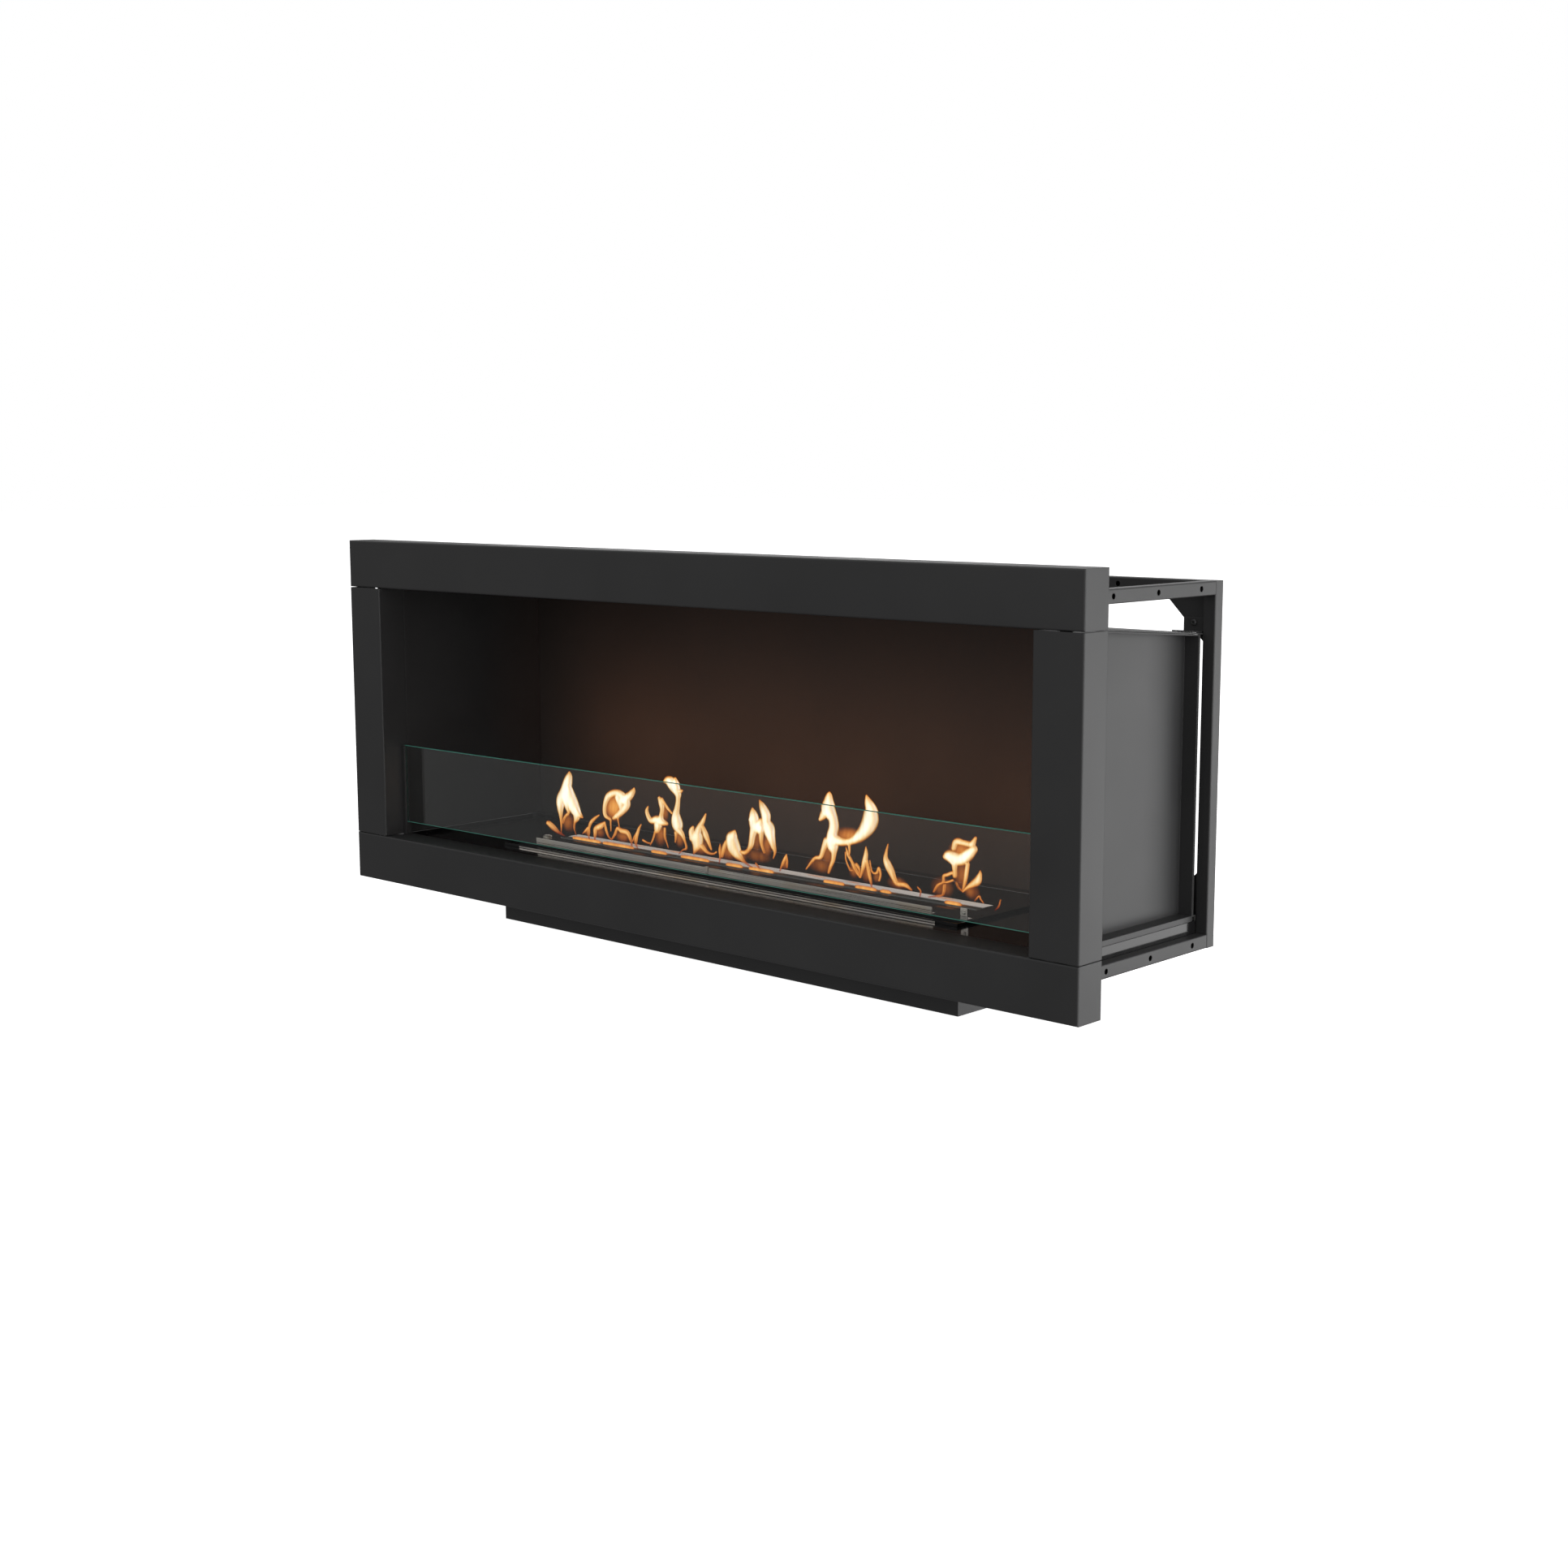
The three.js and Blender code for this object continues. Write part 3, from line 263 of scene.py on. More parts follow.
def moulded_plastic(name, dark, light):
    """Moulded plastic with a spark-eroded grain."""
    material, nodes, links, shader = new_material(name)
    space = object_space(nodes, links)
    grain = noise(nodes, links, space, 1400.0, 2.0)
    patch = noise(nodes, links, space, 30.0, 2.0)
    links.new(ramp(nodes, links, patch, [(0.3, dark), (0.7, light)]), shader.inputs["Base Color"])
    links.new(spread(nodes, links, grain, 0.44, 0.58), shader.inputs["Roughness"])
    edge = rounded_normal(nodes, links, 0.0005)
    links.new(bumped(nodes, links, grain, 0.2, 0.0002, edge), shader.inputs["Normal"])
    return material


def technical_ceramic():
    """Unglazed cream ceramic, slightly speckled."""
    material, nodes, links, shader = new_material("technical_ceramic")
    space = object_space(nodes, links)
    specks = noise(nodes, links, space, 900.0, 3.0, 0.7)
    links.new(
        ramp(nodes, links, specks, [(0.35, (0.55, 0.50, 0.42)), (0.6, (0.74, 0.71, 0.64))]),
        shader.inputs["Base Color"],
    )
    links.new(spread(nodes, links, specks, 0.6, 0.75), shader.inputs["Roughness"])
    links.new(bumped(nodes, links, specks, 0.15, 0.0002), shader.inputs["Normal"])
    return material


def circuit_board():
    """Green solder mask over a grid of copper tracks."""
    material, nodes, links, shader = new_material("circuit_board")
    space = object_space(nodes, links)
    tracks = nodes.new("ShaderNodeTexBrick")
    tracks.inputs["Scale"].default_value = 210.0
    tracks.inputs["Mortar Size"].default_value = 0.06
    tracks.inputs["Color1"].default_value = (0.010, 0.090, 0.040, 1.0)
    tracks.inputs["Color2"].default_value = (0.012, 0.115, 0.050, 1.0)
    tracks.inputs["Mortar"].default_value = (0.030, 0.200, 0.080, 1.0)
    links.new(space, tracks.inputs["Vector"])
    links.new(tracks.outputs["Color"], shader.inputs["Base Color"])
    grain = noise(nodes, links, space, 700.0, 2.0)
    links.new(spread(nodes, links, grain, 0.28, 0.4), shader.inputs["Roughness"])
    links.new(bumped(nodes, links, tracks.outputs["Fac"], 0.3, 0.0001), shader.inputs["Normal"])
    return material


def drawn_brass():
    """Drawn brass, dulled in patches."""
    material, nodes, links, shader = new_material("drawn_brass")
    space = object_space(nodes, links)
    dull = noise(nodes, links, space, 60.0, 4.0)
    links.new(
        ramp(nodes, links, dull, [(0.3, (0.42, 0.27, 0.10)), (0.65, (0.66, 0.46, 0.19))]),
        shader.inputs["Base Color"],
    )
    shader.inputs["Metallic"].default_value = 1.0
    links.new(spread(nodes, links, dull, 0.42, 0.24), shader.inputs["Roughness"])
    links.new(bumped(nodes, links, dull, 0.06, 0.0003), shader.inputs["Normal"])
    return material


def clear_glass():
    """The pane's faces: clear toughened glass with the slightest waviness."""
    material, nodes, links, shader = new_material("clear_glass")
    space = object_space(nodes, links)
    waves = noise(nodes, links, space, 3.5, 1.0)
    links.new(
        ramp(nodes, links, waves, [(0.3, (0.95, 0.985, 0.97)), (0.7, (0.965, 0.99, 0.98))]),
        shader.inputs["Base Color"],
    )
    shader.inputs["Roughness"].default_value = 0.0
    shader.inputs["IOR"].default_value = 1.5
    shader.inputs["Transmission Weight"].default_value = 1.0
    links.new(bumped(nodes, links, waves, 0.02, 0.0005), shader.inputs["Normal"])
    return material


def glowing_glass_edge():
    """The pane's polished edge, where the glass shows its green, with a faint painted glow."""
    material, nodes, links, shader = new_material("glowing_glass_edge")
    space = object_space(nodes, links, (30.0, 400.0, 400.0))
    depth = noise(nodes, links, space, 1.0, 2.0)
    colour = ramp(nodes, links, depth, [(0.3, (0.035, 0.17, 0.13)), (0.7, (0.07, 0.27, 0.21))])
    links.new(colour, shader.inputs["Base Color"])
    # Painted glow: the green rim emits a little light of its own, standing in for light caught in the
    # edge.
    links.new(colour, shader.inputs["Emission Color"])
    shader.inputs["Emission Strength"].default_value = 0.22
    links.new(spread(nodes, links, depth, 0.35, 0.5), shader.inputs["Roughness"])
    shader.inputs["IOR"].default_value = 1.5
    shader.inputs["Transmission Weight"].default_value = 0.1
    return material


def burning_vapour():
    """Flame: bright cream core, orange towards the outline, blue-violet just above the slot."""
    material, nodes, links, shader = new_material("burning_vapour")
    core = nodes.new("ShaderNodeAttribute")
    core.attribute_name = "core"
    warmth = nodes.new("ShaderNodeAttribute")
    warmth.attribute_name = "warmth"
    rise = nodes.new("ShaderNodeAttribute")
    rise.attribute_name = "rise"
    streaks = noise(nodes, links, object_space(nodes, links, (120.0, 60.0, 24.0)), 1.0, 2.0, 0.5)
    stir = nodes.new("ShaderNodeMath")
    stir.operation = "MULTIPLY_ADD"
    stir.inputs[1].default_value = 0.12
    links.new(spread(nodes, links, streaks, -1.0, 1.0, 0.2, 0.8), stir.inputs[0])
    links.new(warmth.outputs["Fac"], stir.inputs[2])
    heat = ramp(
        nodes,
        links,
        stir.outputs["Value"],
        [
            (0.04, (0.36, 0.08, 0.012)),
            (0.22, (0.72, 0.21, 0.035)),
            (0.42, (1.00, 0.44, 0.10)),
            (0.60, (1.12, 0.74, 0.32)),
            (0.80, (1.28, 1.06, 0.70)),
            (1.00, (1.50, 1.35, 1.10)),
        ],
    )
    base = ramp(
        nodes,
        links,
        rise.outputs["Fac"],
        [(0.0, (0.10, 0.08, 0.20)), (0.35, (0.42, 0.14, 0.09)), (1.0, (1.0, 1.0, 1.0))],
    )
    tinted = nodes.new("ShaderNodeMix")
    tinted.data_type = "RGBA"
    tinted.blend_type = "MULTIPLY"
    tinted.inputs["Factor"].default_value = 1.0
    links.new(heat, tinted.inputs["A"])
    links.new(base, tinted.inputs["B"])
    shader.inputs["Base Color"].default_value = (0.0, 0.0, 0.0, 1.0)
    shader.inputs["Specular IOR Level"].default_value = 0.0
    shader.inputs["Roughness"].default_value = 1.0
    links.new(tinted.outputs["Result"], shader.inputs["Emission Color"])
    shader.inputs["Emission Strength"].default_value = 1.0
    body = spread(nodes, links, core.outputs["Fac"], 0.0, 0.84, 0.0, 0.75)
    foot = spread(nodes, links, rise.outputs["Fac"], 0.35, 1.0, 0.0, 0.8)
    wisp = spread(nodes, links, streaks, 0.82, 1.0, 0.25, 0.6)
    thin = nodes.new("ShaderNodeMath")
    thin.operation = "MULTIPLY"
    links.new(body, thin.inputs[0])
    links.new(foot, thin.inputs[1])
    veil = nodes.new("ShaderNodeMath")
    veil.operation = "MULTIPLY"
    links.new(thin.outputs["Value"], veil.inputs[0])
    links.new(wisp, veil.inputs[1])
    links.new(veil.outputs["Value"], shader.inputs["Alpha"])
    material.cycles.emission_sampling = "NONE"
    return material


# --- CAD nodes get their finishes ---------------------------------------------------------------


def finish_nodes(material, names):
    """Puts one material on every slot of the named CAD nodes."""
    for name in names:
        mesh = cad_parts[name].data
        mesh.materials.clear()
        mesh.materials.append(material)


def finish_frame():
    """Every CAD node's finish."""
    coat = powder_coat()
    sides = ("left", "right")
    coated = ["surround_bottom_beam", "surround_top_beam", "firebox_roof", "burner_well"]
    for side in sides:
        coated += [f"surround_{side}_post", f"firebox_{side}_wall", f"glass_holder_{side}"]
        coated += [f"frame_front_{side}_post", f"frame_rear_{side}_post"]
        coated += [f"frame_top_{side}_rail", f"frame_bottom_{side}_rail"]
        coated += [f"gusset_top_{side}", f"gusset_bottom_{side}"]
        coated += [f"corner_tab_{side}", f"corner_tab_screw_{side}"]
    for end in ("front", "rear"):
        coated += [f"frame_{end}_top_rail", f"frame_{end}_bottom_rail"]
    finish_nodes(coat, coated)
    finish_nodes(firebox_paint(), ["firebox_back_wall"])
    finish_nodes(gloss_black("floor_enamel", 0.09, 0.15), ["firebox_floor"])
    finish_nodes(gloss_black("plate_enamel", 0.04, 0.08), ["burner_top_plate"])
    finish_nodes(brushed_steel(), STEEL_STRIPS + ["vaporiser_tray"])
    tray = ["burner_tray_floor", "burner_tray_sides", "burner_tray_rear_wall"]
    plated = tray + ["flame_trough", "heater_rod", "fuel_tank", "filler_neck"]
    finish_nodes(plated_steel(), plated)
    black = ["mains_inlet", "fuel_pump", "fan_housing", "fan_impeller", "power_rocker"]
    black_plastic = moulded_plastic("black_plastic", (0.018, 0.018, 0.019), (0.026, 0.026, 0.027))
    finish_nodes(black_plastic, black)
    red_plastic = moulded_plastic("red_plastic", (0.40, 0.025, 0.018), (0.48, 0.035, 0.024))
    finish_nodes(red_plastic, ["reset_button"])
    finish_nodes(technical_ceramic(), ["glow_igniter"])
    finish_nodes(drawn_brass(), ["fuel_float", "fuel_line"])
    finish_nodes(circuit_board(), ["control_board"])


# --- Glass screen -------------------------------------------------------------------------------


def mesh_object(name, points, faces, materials):
    """A mesh object from plain lists."""
    mesh = bpy.data.meshes.new(name)
    mesh.from_pydata(points, [], faces)
    for material in materials:
        mesh.materials.append(material)
    thing = bpy.data.objects.new(name, mesh)
    scene.collection.objects.link(thing)
    return thing


def glass_pane():
    """The pane with arrised edges: clear faces, green polished rim."""
    low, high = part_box("glass_screen")
    shape = bmesh.new()
    bmesh.ops.create_cube(shape, size=1.0)
    for vertex in shape.verts:
        for axis in range(3):
            vertex.co[axis] = high[axis] if vertex.co[axis] > 0 else low[axis]
    bmesh.ops.bevel(shape, geom=shape.edges[:], offset=ARRIS, segments=2, profile=0.5, affect="EDGES")
    mesh = bpy.data.meshes.new("glass_pane")
    shape.normal_update()
    for face in shape.faces:
        face.material_index = 0 if abs(face.normal.y) > 0.99 else 1
    shape.to_mesh(mesh)
    shape.free()
    mesh.materials.append(clear_glass())
    mesh.materials.append(glowing_glass_edge())
    pane = bpy.data.objects.new("glass_pane", mesh)
    scene.collection.objects.link(pane)
    pane.visible_shadow = False
    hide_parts("glass_screen")
    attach(pane, "screen")


# --- Flames -------------------------------------------------------------------------------------


def smooth_spine(points):
    """Catmull-Rom through (x, height, half width), about a millimetre apart."""
    knots = np.array(points, float)
    knots = np.vstack([2 * knots[0] - knots[1], knots, 2 * knots[-1] - knots[-2]])
    samples = []
    for i in range(1, len(knots) - 2):
        a, b, c, d = knots[i - 1], knots[i], knots[i + 1], knots[i + 2]
        count = max(2, int(np.hypot(*(c - b)[:2]) / 1.0))
        t = np.linspace(0, 1, count, endpoint=False)[:, None]
        line = b + 0.5 * t * (c - a)
        line = line + t**2 * (a - 2.5 * b + 2 * c - 0.5 * d)
        line = line + t**3 * (1.5 * b - 0.5 * a - 1.5 * c + 0.5 * d)
        samples.append(line)
    samples.append(knots[-2][None])
    spine = np.vstack(samples) / 1000
    spine[:, 2] = np.maximum(spine[:, 2], THINNEST_STROKE)
    return spine


def flame_field(xs, zs, strokes, veils):
    """Grids over xs and zs: the flame's density (0 outside, 1 inside), its half depth and its heat."""
    gx, gz = np.meshgrid(xs, zs)
    total = np.zeros_like(gx)
    depth = np.zeros_like(gx)
    for stroke in strokes:
        best = np.zeros_like(gx)
        local = np.zeros_like(gx)
        for x, z, w in smooth_spine(stroke):
            inside = 1.0 - ((gx - x) ** 2 + (gz - z) ** 2) / w**2
            local = np.where(inside > best, w, local)
            best = np.maximum(best, inside)
        total += best**3
        depth = np.maximum(depth, local * np.sqrt(best))
    field = np.minimum(total ** (1 / 3), 1.0)
    thickness = np.clip(depth / THICK_FLAME, 0, 1)
    heat = field * (0.36 + 0.64 * thickness) * (0.66 + 0.34 * np.clip((gz - 0.085) / 0.05, 0, 1))
    for x, z, wide, tall, strength in veils:
        around = ((gx - x / 1000) / (wide / 1000)) ** 2 + ((gz - z / 1000) / (tall / 1000)) ** 2
        veil = strength * np.clip(1.0 - around, 0, 1) ** 1.5
        field = np.maximum(field, veil)
        depth = np.maximum(depth, VEIL_DEPTH * np.sqrt(np.clip(1.0 - around, 0, 1)))
        heat = np.maximum(heat, VEIL_HEAT * veil)
    return field, depth, heat


def flame(name, material, strokes, veils, rooted=True):
    """A closed lens-shaped body of burning vapour around its strokes.

    Strokes are lists of (x, height, half width), and veils are (x, height, half width, half height,
    strength), in millimetres above the surround's lower edge. A rooted flame fades towards the slot
    and isn't seen in reflections.
    """
    edges = np.array([p for stroke in strokes for p in stroke], float)
    low = (edges[:, :2].min(0) - edges[:, 2].max()) / 1000 - FLAME_MARGIN
    high = (edges[:, :2].max(0) + edges[:, 2].max()) / 1000 + FLAME_MARGIN
    xs = np.arange(low[0], high[0], FLAME_GRID)
    zs = np.arange(low[1], high[1], FLAME_GRID)
    field, depth, hot = flame_field(xs, zs, strokes, veils)
    sway = np.sin(zs * 60 + low[0] * 40) * np.clip((zs - SWAY_START) * 12, 0, 1) * SWAY
    points, core, warmth, rise, front, back = [], [], [], [], {}, {}
    used = np.zeros_like(field, bool)
    filled = (field[:-1, :-1] > 0) | (field[1:, :-1] > 0) | (field[:-1, 1:] > 0) | (field[1:, 1:] > 0)
    used[:-1, :-1] |= filled
    used[1:, :-1] |= filled
    used[:-1, 1:] |= filled
    used[1:, 1:] |= filled
    for row, column in np.argwhere(used):
        half = FLAME_FULLNESS * depth[row, column]
        x, z = xs[column], zs[row] + SURROUND_BOTTOM
        y = SLOT_DEPTH + sway[row]
        key = (int(row), int(column))
        sheets = (front,) if field[row, column] <= 0 else (front, back)
        for sheet, side in zip(sheets, (-1, 1)):
            sheet[key] = len(points)
            points.append((x, y + side * half, z))
            core.append(field[row, column])
            warmth.append(hot[row, column])
            rise.append(np.clip((zs[row] - ROOT_LEVEL) / ROOT_RISE, 0, 1) if rooted else 1.0)
        if field[row, column] <= 0:
            back[key] = front[key]
    faces = []
    for row, column in np.argwhere(filled):
        corners = [(row, column), (row, column + 1), (row + 1, column + 1), (row + 1, column)]
        corners = [(int(r), int(c)) for r, c in corners]
        faces.append([front[c] for c in corners])
        if [back[c] for c in corners] != faces[-1]:
            faces.append([back[c] for c in reversed(corners)])
    body = mesh_object(name, points, faces, [material])
    body.data.shade_smooth()
    for label, values in (("core", core), ("warmth", warmth), ("rise", rise)):
        attribute = body.data.attributes.new(label, "FLOAT", "POINT")
        attribute.data.foreach_set("value", np.array(values, np.float32))
    body.visible_shadow = False
    body.visible_glossy = not rooted
    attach(body, "burner")


FLAMES = {
    "flame_a": (
        [
            [(-466, 83, 1), (-465, 101, 2), (-465, 116, 4), (-466, 131, 8), (-465, 146, 12),
             (-459, 159, 11), (-452, 171, 11), (-446, 182, 9), (-441, 190, 6), (-440, 196, 2)],
            [(-427, 87, 1), (-431, 98, 1.5), (-429, 109, 2.5), (-424, 118, 7), (-424, 127, 10),
             (-433, 138, 13), (-443, 151, 13), (-448, 164, 10)],
            [(-408, 120, 1.5), (-416, 124, 6), (-425, 129, 9)],
            [(-454, 158, 11), (-450, 144, 10), (-446, 132, 6), (-444, 124, 2)],
            [(-461, 104, 1.2), (-455, 115, 2), (-447, 122, 3)],
            [(-456, 82, 1), (-473, 87, 3.5), (-487, 94, 6), (-498, 100, 5), (-503, 99, 2)],
        ],
        [(-446, 108, 20, 20, 0.32)],
    ),
    "flame_b": (
        [
            [(-339, 125, 3), (-351, 131, 4), (-353, 148, 5), (-346, 163, 7), (-328, 171, 7),
             (-311, 167, 8), (-299, 154, 8), (-313, 139, 7), (-329, 128, 4)],
            [(-322, 164, 8), (-314, 156, 9), (-311, 148, 7)],
            [(-307, 161, 10), (-294, 169, 8), (-284, 178, 5), (-280, 184, 1.5)],
            [(-337, 124, 2), (-337, 112, 1.5), (-337, 105, 1)],
            [(-320, 132, 2), (-317, 120, 1.5), (-315, 111, 1)],
        ],
        [(-330, 147, 26, 27, 0.8)],
    ),
    "flame_c": (
        [
            [(-391, 82, 1.5), (-394, 87, 2), (-394, 100, 2.5), (-390, 112, 3.5), (-378, 122, 3),
             (-366, 129, 1)],
            [(-410, 92, 1), (-403, 97, 2), (-396, 103, 3)],
        ],
        [(-398, 96, 9, 8, 0.3)],
    ),
    "flame_d": (
        [
            [(-379, 83, 2), (-378, 95, 4), (-376, 104, 5), (-363, 110, 6), (-352, 118, 2)],
            [(-352, 117, 2), (-350, 106, 3), (-344, 94, 2), (-336, 90, 1.5)],
            [(-336, 90, 1.5), (-328, 100, 3), (-321, 111, 3), (-311, 108, 5), (-296, 106, 5),
             (-288, 93, 3), (-286, 84, 2)],
        ],
        [(-365, 99, 13, 12, 0.36), (-308, 98, 20, 12, 0.4)],
    ),
    "flame_e": (
        [
            [(-272, 83, 2), (-276, 89, 2.5), (-275, 100, 3.5), (-270, 115, 3), (-264, 124, 1)],
            [(-285, 92, 1), (-280, 100, 2), (-275, 108, 2)],
            [(-259, 98, 2), (-248, 95, 1.5), (-240, 95, 1)],
        ],
        [(-277, 97, 6, 10, 0.3)],
    ),
    "flame_f": (
        [
            [(-243, 157, 1.5), (-246, 149, 4), (-242, 139, 5), (-236, 134, 6), (-222, 137, 8),
             (-213, 135, 8), (-200, 133, 4)],
            [(-219, 174, 3), (-212, 166, 6), (-209, 156, 5), (-211, 146, 5), (-213, 138, 7)],
            [(-212, 173, 2.5), (-197, 160, 2.5), (-186, 152, 2)],
            [(-221, 128, 9), (-225, 118, 6), (-229, 116, 2.5), (-235, 102, 2), (-241, 92, 1.2)],
            [(-205, 124, 2.5), (-206, 111, 2), (-202, 101, 1.5), (-198, 93, 1)],
        ],
        [(-217, 112, 16, 22, 0.4), (-203, 150, 10, 16, 0.4)],
    ),
    "flame_g": (
        [
            [(-173, 85, 1), (-163, 93, 1.5), (-155, 97, 2.5), (-158, 109, 2.5), (-163, 119, 5),
             (-172, 127, 8), (-174, 134, 12), (-177, 142, 11), (-179, 151, 8), (-178, 161, 6),
             (-177, 176, 5), (-177, 186, 8), (-184, 197, 12), (-195, 205, 9), (-208, 203, 2)],
            [(-180, 210, 3), (-178, 198, 8)],
            [(-164, 192, 1), (-170, 190, 4)],
            [(-178, 120, 4), (-179, 112, 2), (-181, 104, 1)],
        ],
        [(-170, 112, 12, 18, 0.35)],
    ),
    "flame_h": (
        [
            [(-109, 159, 1.5), (-116, 148, 4), (-124, 137, 6), (-130, 125, 9), (-130, 116, 13),
             (-129, 107, 11), (-134, 97, 5), (-138, 89, 1.5)],
            [(-141, 133, 3), (-144, 126, 6), (-140, 116, 8)],
            [(-118, 136, 4), (-111, 124, 6), (-104, 114, 4), (-97, 102, 2)],
            [(-118, 104, 5), (-106, 96, 3), (-93, 95, 2), (-85, 99, 1.5)],
        ],
        [(-122, 104, 22, 18, 0.35)],
    ),
    "flame_j": (
        [
            [(-79, 80, 1.5), (-77, 93, 2.5), (-78, 103, 3), (-77, 113, 1)],
            [(-73, 93, 3), (-69, 107, 4), (-64, 117, 3), (-61, 122, 1)],
            [(-4, 83, 1.5), (-17, 88, 2.5), (-27, 93, 4), (-38, 102, 10), (-46, 112, 14), (-49, 124, 13),
             (-45, 132, 8), (-41, 139, 2)],
        ],
        [(-58, 104, 20, 20, 0.38), (-32, 98, 18, 10, 0.3)],
    ),
    "flame_k": (
        [
            [(-29, 106, 3), (-20, 106, 4), (-12, 112, 4), (-6, 122, 6), (-4, 135, 7), (-2, 148, 9),
             (-3, 158, 11), (-4, 168, 9), (-5, 179, 2)],
            [(-12, 160, 2), (-6, 162, 6)],
            [(42, 104, 1), (46, 115, 3), (42, 125, 6), (36, 138, 9), (30, 150, 12), (24, 160, 9),
             (23, 172, 10), (19, 183, 8), (14, 194, 2)],
            [(8, 150, 12), (12, 160, 6)],
            [(14, 150, 6), (15, 135, 5), (17, 123, 3), (23, 111, 1.5)],
            [(3, 91, 2), (8, 87, 2), (12, 83, 1)],
        ],
        [(6, 128, 12, 26, 0.3), (28, 124, 14, 24, 0.4), (8, 104, 34, 12, 0.25)],
    ),
    "flame_l": (
        [
            [(56, 86, 1.5), (62, 100, 2.5), (67, 108, 3), (70, 114, 1)],
            [(71, 93, 1.2), (71, 103, 2), (70, 112, 1)],
        ],
        [(66, 97, 7, 10, 0.3)],
    ),
    "flame_m": (
        [
            [(112, 96, 1), (123, 108, 2), (132, 116, 3), (143, 119, 4), (149, 131, 5), (155, 146, 7)],
            [(159, 96, 2), (163, 106, 3), (169, 117, 4), (171, 130, 6), (168, 142, 12), (165, 155, 11),
             (167, 168, 10), (165, 182, 10), (158, 195, 14), (159, 207, 10), (161, 217, 6),
             (162, 222, 2)],
            [(138, 177, 3), (146, 185, 7), (154, 195, 8)],
            [(168, 150, 10), (188, 148, 7), (206, 152, 7), (222, 162, 11), (235, 176, 14), (243, 190, 15),
             (245, 203, 12), (241, 214, 8), (237, 225, 2)],
            [(201, 146, 3), (203, 135, 2), (202, 128, 1)],
        ],
        [(158, 124, 14, 24, 0.34), (142, 106, 30, 14, 0.26), (200, 159, 34, 14, 0.6)],
    ),
    "flame_n": (
        [
            [(223, 97, 1.5), (213, 109, 2.5), (205, 120, 3), (198, 130, 3), (195, 140, 1)],
            [(193, 132, 1.5), (194, 120, 1.5), (202, 107, 1.5), (208, 105, 1)],
            [(215, 116, 3), (221, 110, 2), (222, 101, 1)],
            [(224, 97, 1.5), (227, 108, 3), (231, 121, 5), (235, 135, 4), (236, 146, 1)],
            [(247, 86, 2), (244, 97, 3), (239, 112, 3), (236, 124, 3)],
            [(242, 125, 1.2), (247, 109, 1.5), (256, 108, 2), (260, 116, 2.5), (264, 107, 2),
             (262, 97, 1.5)],
        ],
        [(211, 107, 12, 14, 0.34), (236, 106, 11, 18, 0.34), (256, 102, 9, 10, 0.26)],
    ),
    "flame_o": (
        [
            [(326, 91, 1.5), (313, 97, 4), (298, 97, 4), (292, 104, 5), (286, 115, 7), (280, 124, 7),
             (275, 132, 5), (275, 142, 3), (277, 155, 1)],
        ],
        [(298, 98, 22, 11, 0.32)],
    ),
    "flame_p": (
        [
            [(391, 150, 5), (399, 152, 10), (408, 150, 12), (420, 150, 11), (433, 158, 10),
             (445, 168, 7)],
            [(408, 165, 5), (412, 175, 6), (424, 175, 5), (438, 174, 5)],
            [(442, 175, 6), (446, 184, 3)],
            [(408, 148, 8), (407, 135, 5), (407, 123, 4), (403, 127, 3), (393, 123, 3), (386, 120, 3),
             (385, 111, 2), (375, 105, 2), (368, 94, 1.5)],
            [(403, 116, 2), (393, 112, 1.5), (386, 111, 1.5)],
            [(388, 107, 2), (387, 97, 2), (384, 91, 2), (372, 88, 2), (358, 85, 1)],
            [(432, 144, 4), (429, 132, 4), (426, 118, 3), (423, 105, 2)],
            [(409, 114, 1), (415, 106, 1), (423, 102, 1.5)],
        ],
        [(422, 162, 26, 18, 0.62), (418, 126, 16, 26, 0.34), (384, 103, 24, 18, 0.26)],
    ),
    "flame_q": (
        [
            [(423, 102, 1.5), (433, 110, 3), (443, 116, 6), (451, 122, 7), (455, 131, 4), (455, 137, 1)],
            [(445, 91, 1), (453, 99, 1.5), (456, 95, 1.5), (461, 90, 1)],
        ],
        [(440, 104, 16, 13, 0.34)],
    ),
    "flame_wisps": (
        [
            [(337, 97, 1), (343, 92, 1.5), (342, 84, 1.5)],
            [(482, 82, 1), (489, 89, 1.5), (492, 99, 1)],
        ],
        [],
    ),
}


# Vapour burning in the slot's mouth: (middle, length) of each patch along the slot.
SLOT_GLOW = [(-400, 65), (-320, 70), (-220, 35), (-135, 60), (-45, 35), (15, 50), (170, 40), (235, 40)]
SLOT_GLOW += [(275, 20), (405, 30)]
GLOW_LEVEL = 81.5
GLOW_HALF_HEIGHT = 4
GLOW_TIP = 1.5
GLOW_TAPER = 5

# Thin veils low behind the slot: (middle, half length) of each.
LOW_VEILS = [(-270, 26), (-180, 30), (-90, 26), (5, 18), (135, 30), (210, 24), (390, 28)]


def slot_glow(vapour):
    """A low broken ribbon of flame along the slot."""
    patches = []
    for middle, length in SLOT_GLOW:
        left = middle - length / 2
        right = middle + length / 2
        patches.append([
            (left, GLOW_LEVEL, GLOW_TIP),
            (left + GLOW_TAPER, GLOW_LEVEL, GLOW_HALF_HEIGHT),
            (right - GLOW_TAPER, GLOW_LEVEL, GLOW_HALF_HEIGHT),
            (right, GLOW_LEVEL, GLOW_TIP),
        ])
    veils = [(middle, GLOW_LEVEL + 8, half, 4, 0.55) for middle, half in LOW_VEILS]
    flame("slot_glow", vapour, patches, veils, rooted=False)


def flames():
    """All the tongues on the burner, and the glow in the slot."""
    vapour = burning_vapour()
    for name, (strokes, veils) in FLAMES.items():
        flame(name, vapour, strokes, veils)
    slot_glow(vapour)


# --- Studio -------------------------------------------------------------------------------------


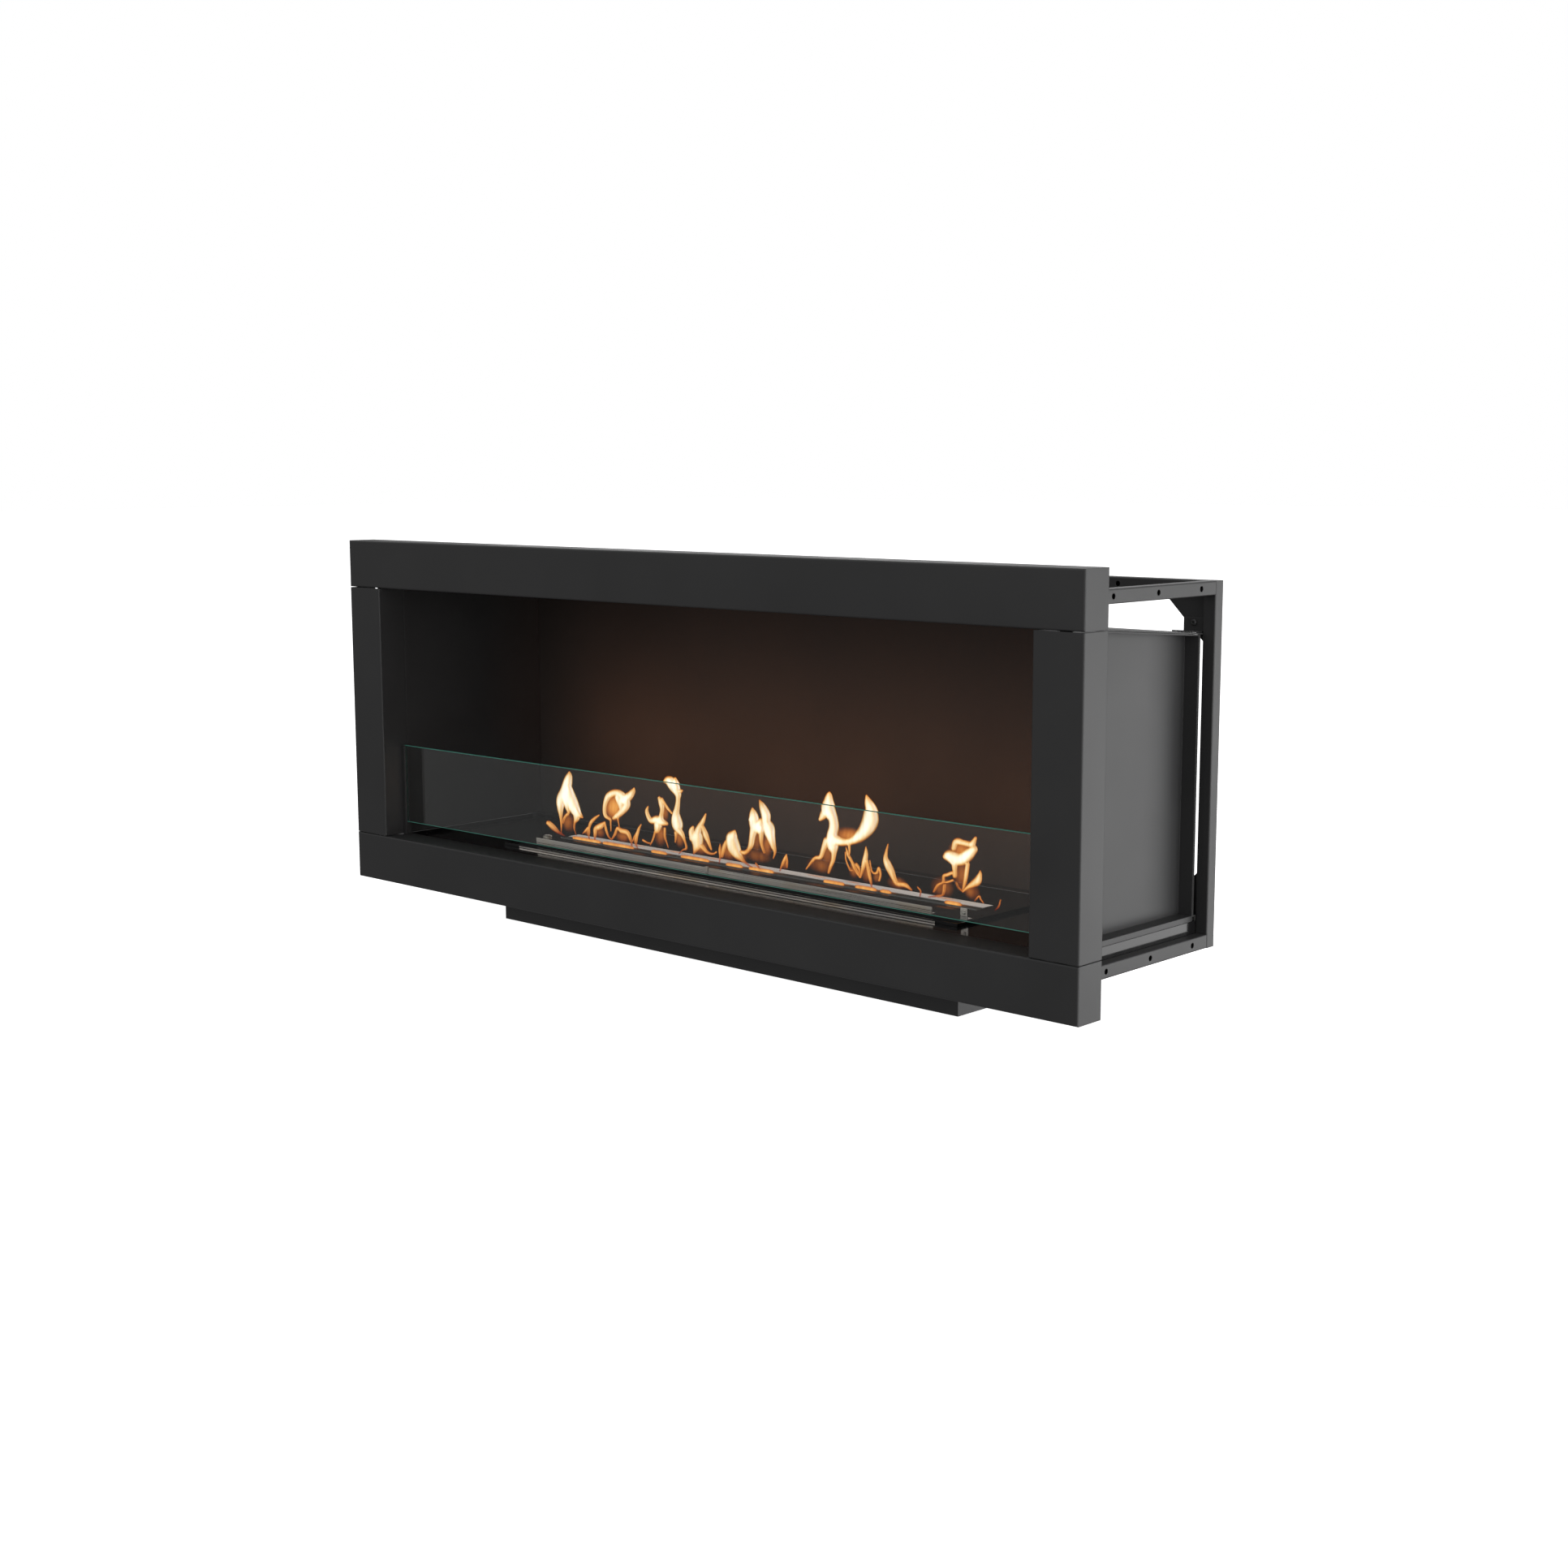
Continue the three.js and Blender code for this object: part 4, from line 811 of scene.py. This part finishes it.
def world_light():
    """Pale surroundings: white to the camera, a soft grey fill that is brighter above for the rest."""
    world = bpy.data.worlds.new("studio")
    scene.world = world
    world.use_nodes = True
    nodes, links = world.node_tree.nodes, world.node_tree.links
    output = nodes["World Output"]
    fill = nodes["Background"]
    fill.inputs["Color"].default_value = (1.0, 1.0, 1.0, 1.0)
    direction = nodes.new("ShaderNodeTexCoord")
    height = nodes.new("ShaderNodeSeparateXYZ")
    links.new(direction.outputs["Generated"], height.inputs["Vector"])
    strength = spread(nodes, links, height.outputs["Z"], FILL_BELOW, FILL_ABOVE, -0.1, 0.35)
    links.new(strength, fill.inputs["Strength"])
    seen = nodes.new("ShaderNodeBackground")
    seen.inputs["Color"].default_value = (*BACKDROP, 1.0)
    seen.inputs["Strength"].default_value = 1.0
    path = nodes.new("ShaderNodeLightPath")
    choose = nodes.new("ShaderNodeMixShader")
    links.new(path.outputs["Is Camera Ray"], choose.inputs["Fac"])
    links.new(fill.outputs["Background"], choose.inputs[1])
    links.new(seen.outputs["Background"], choose.inputs[2])
    links.new(choose.outputs["Shader"], output.inputs["Surface"])


def floor():
    """A plain pale floor under the insert."""
    material, nodes, links, shader = new_material("studio_floor")
    paper = noise(nodes, links, object_space(nodes, links), 3.0, 2.0)
    colour = ramp(nodes, links, paper, [(0.3, (0.93, 0.93, 0.93)), (0.7, (0.95, 0.95, 0.95))])
    links.new(colour, shader.inputs["Base Color"])
    shader.inputs["Roughness"].default_value = 0.9
    shader.inputs["Emission Color"].default_value = (1.0, 1.0, 1.0, 1.0)
    shader.inputs["Emission Strength"].default_value = 0.95
    half = FLOOR_SIZE / 2
    corners = [(-half, -half, 0), (half, -half, 0), (half, half, 0), (-half, half, 0)]
    ground = mesh_object("studio_floor", corners, [(0, 1, 2, 3)], [material])
    ground.visible_diffuse = False
    ground.visible_glossy = False
    ground.visible_transmission = False
    ground.visible_shadow = False


def softbox(name, place, target, size, radiance, colour=(1.0, 1.0, 1.0)):
    """A rectangular soft light of a given brightness, unseen by the camera."""
    light = bpy.data.lights.new(name, "AREA")
    light.shape = "RECTANGLE"
    light.size, light.size_y = size
    light.energy = radiance * math.pi * size[0] * size[1]
    light.color = colour
    lamp = bpy.data.objects.new(name, light)
    scene.collection.objects.link(lamp)
    lamp.location = place
    lamp.rotation_euler = (Vector(target) - Vector(place)).to_track_quat("-Z", "Y").to_euler()
    lamp.visible_camera = False
    return lamp


def studio_lights():
    """A large box on the right, one behind for the top faces, a gentle one above, and a front fill."""
    softbox("right_box", (3.6, 0.1, 0.5), (0.8, 0.0, 0.35), (3.6, 2.6), 2.6)
    softbox("right_rear_box", (2.6, 2.8, -0.1), (0.7, 0.0, 0.3), (1.8, 2.0), 2.6)
    softbox("back_box", (-2.6, 3.6, 1.35), (0.0, 0.0, 0.6), (3.2, 1.0), 1.1)
    softbox("top_box", (0.4, 0.2, 3.2), (0.2, 0.0, 0.5), (3.0, 2.0), 0.8)
    softbox("front_fill", (1.7, -3.9, 1.3), (0.2, 0.0, 0.3), (2.8, 2.2), 1.3)


def steel_light():
    """Pale boxes, low in front and along the back wall, that only the bright steel strips reflect."""
    strips = bpy.data.collections.new("bright_strips")
    nothing = bpy.data.collections.new("no_blockers")
    for name in STEEL_STRIPS:
        strips.objects.link(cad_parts[name])
    pale = (1.0, 0.94, 0.91)
    low = softbox("steel_box", (-2.3, -2.6, -0.1), (0.0, 0.0, 0.14), (3.4, 2.0), 2.4, pale)
    warm = (1.0, 0.9, 0.86)
    rear = softbox("steel_rear_box", (-0.1, 0.15, 0.172), (-0.1, 0.0, 0.15), (1.3, 0.07), 0.9, warm)
    for box in (low, rear):
        box.light_linking.receiver_collection = strips
    low.light_linking.blocker_collection = nothing


def flame_glow():
    """Warm light from the flames on the firebox behind them."""
    for x in GLOW_PLACES:
        place = (x, -0.02, 0.26)
        wall = (x, 0.30, 0.34)
        name = f"flame_glow_{x}"
        glow = softbox(name, place, wall, (0.26, 0.12), GLOW_RADIANCE, GLOW_COLOUR)
        glow.data.spread = math.radians(GLOW_SPREAD)
        glow.visible_glossy = False
        glow.visible_transmission = False


def camera():
    """The camera, at the viewing angle of the original."""
    data = bpy.data.cameras.new("camera")
    data.lens = CAMERA_LENS
    data.sensor_width = SENSOR_WIDTH
    eye = bpy.data.objects.new("camera", data)
    scene.collection.objects.link(eye)
    turn = Matrix.Rotation(CAMERA_YAW, 4, "Z") @ Matrix.Rotation(math.pi / 2 + CAMERA_PITCH, 4, "X")
    turn = turn @ Matrix.Rotation(CAMERA_ROLL, 4, "Z")
    eye.matrix_world = Matrix.Translation(CAMERA_PLACE) @ turn
    scene.camera = eye


def look():
    """Plain colour handling, and enough bounces for the flames' thin layers."""
    scene.view_settings.view_transform = "Standard"
    scene.cycles.transparent_max_bounces = 24


camera()
world_light()
floor()
studio_lights()
steel_light()
flame_glow()
look()
finish_frame()
glass_pane()
flames()
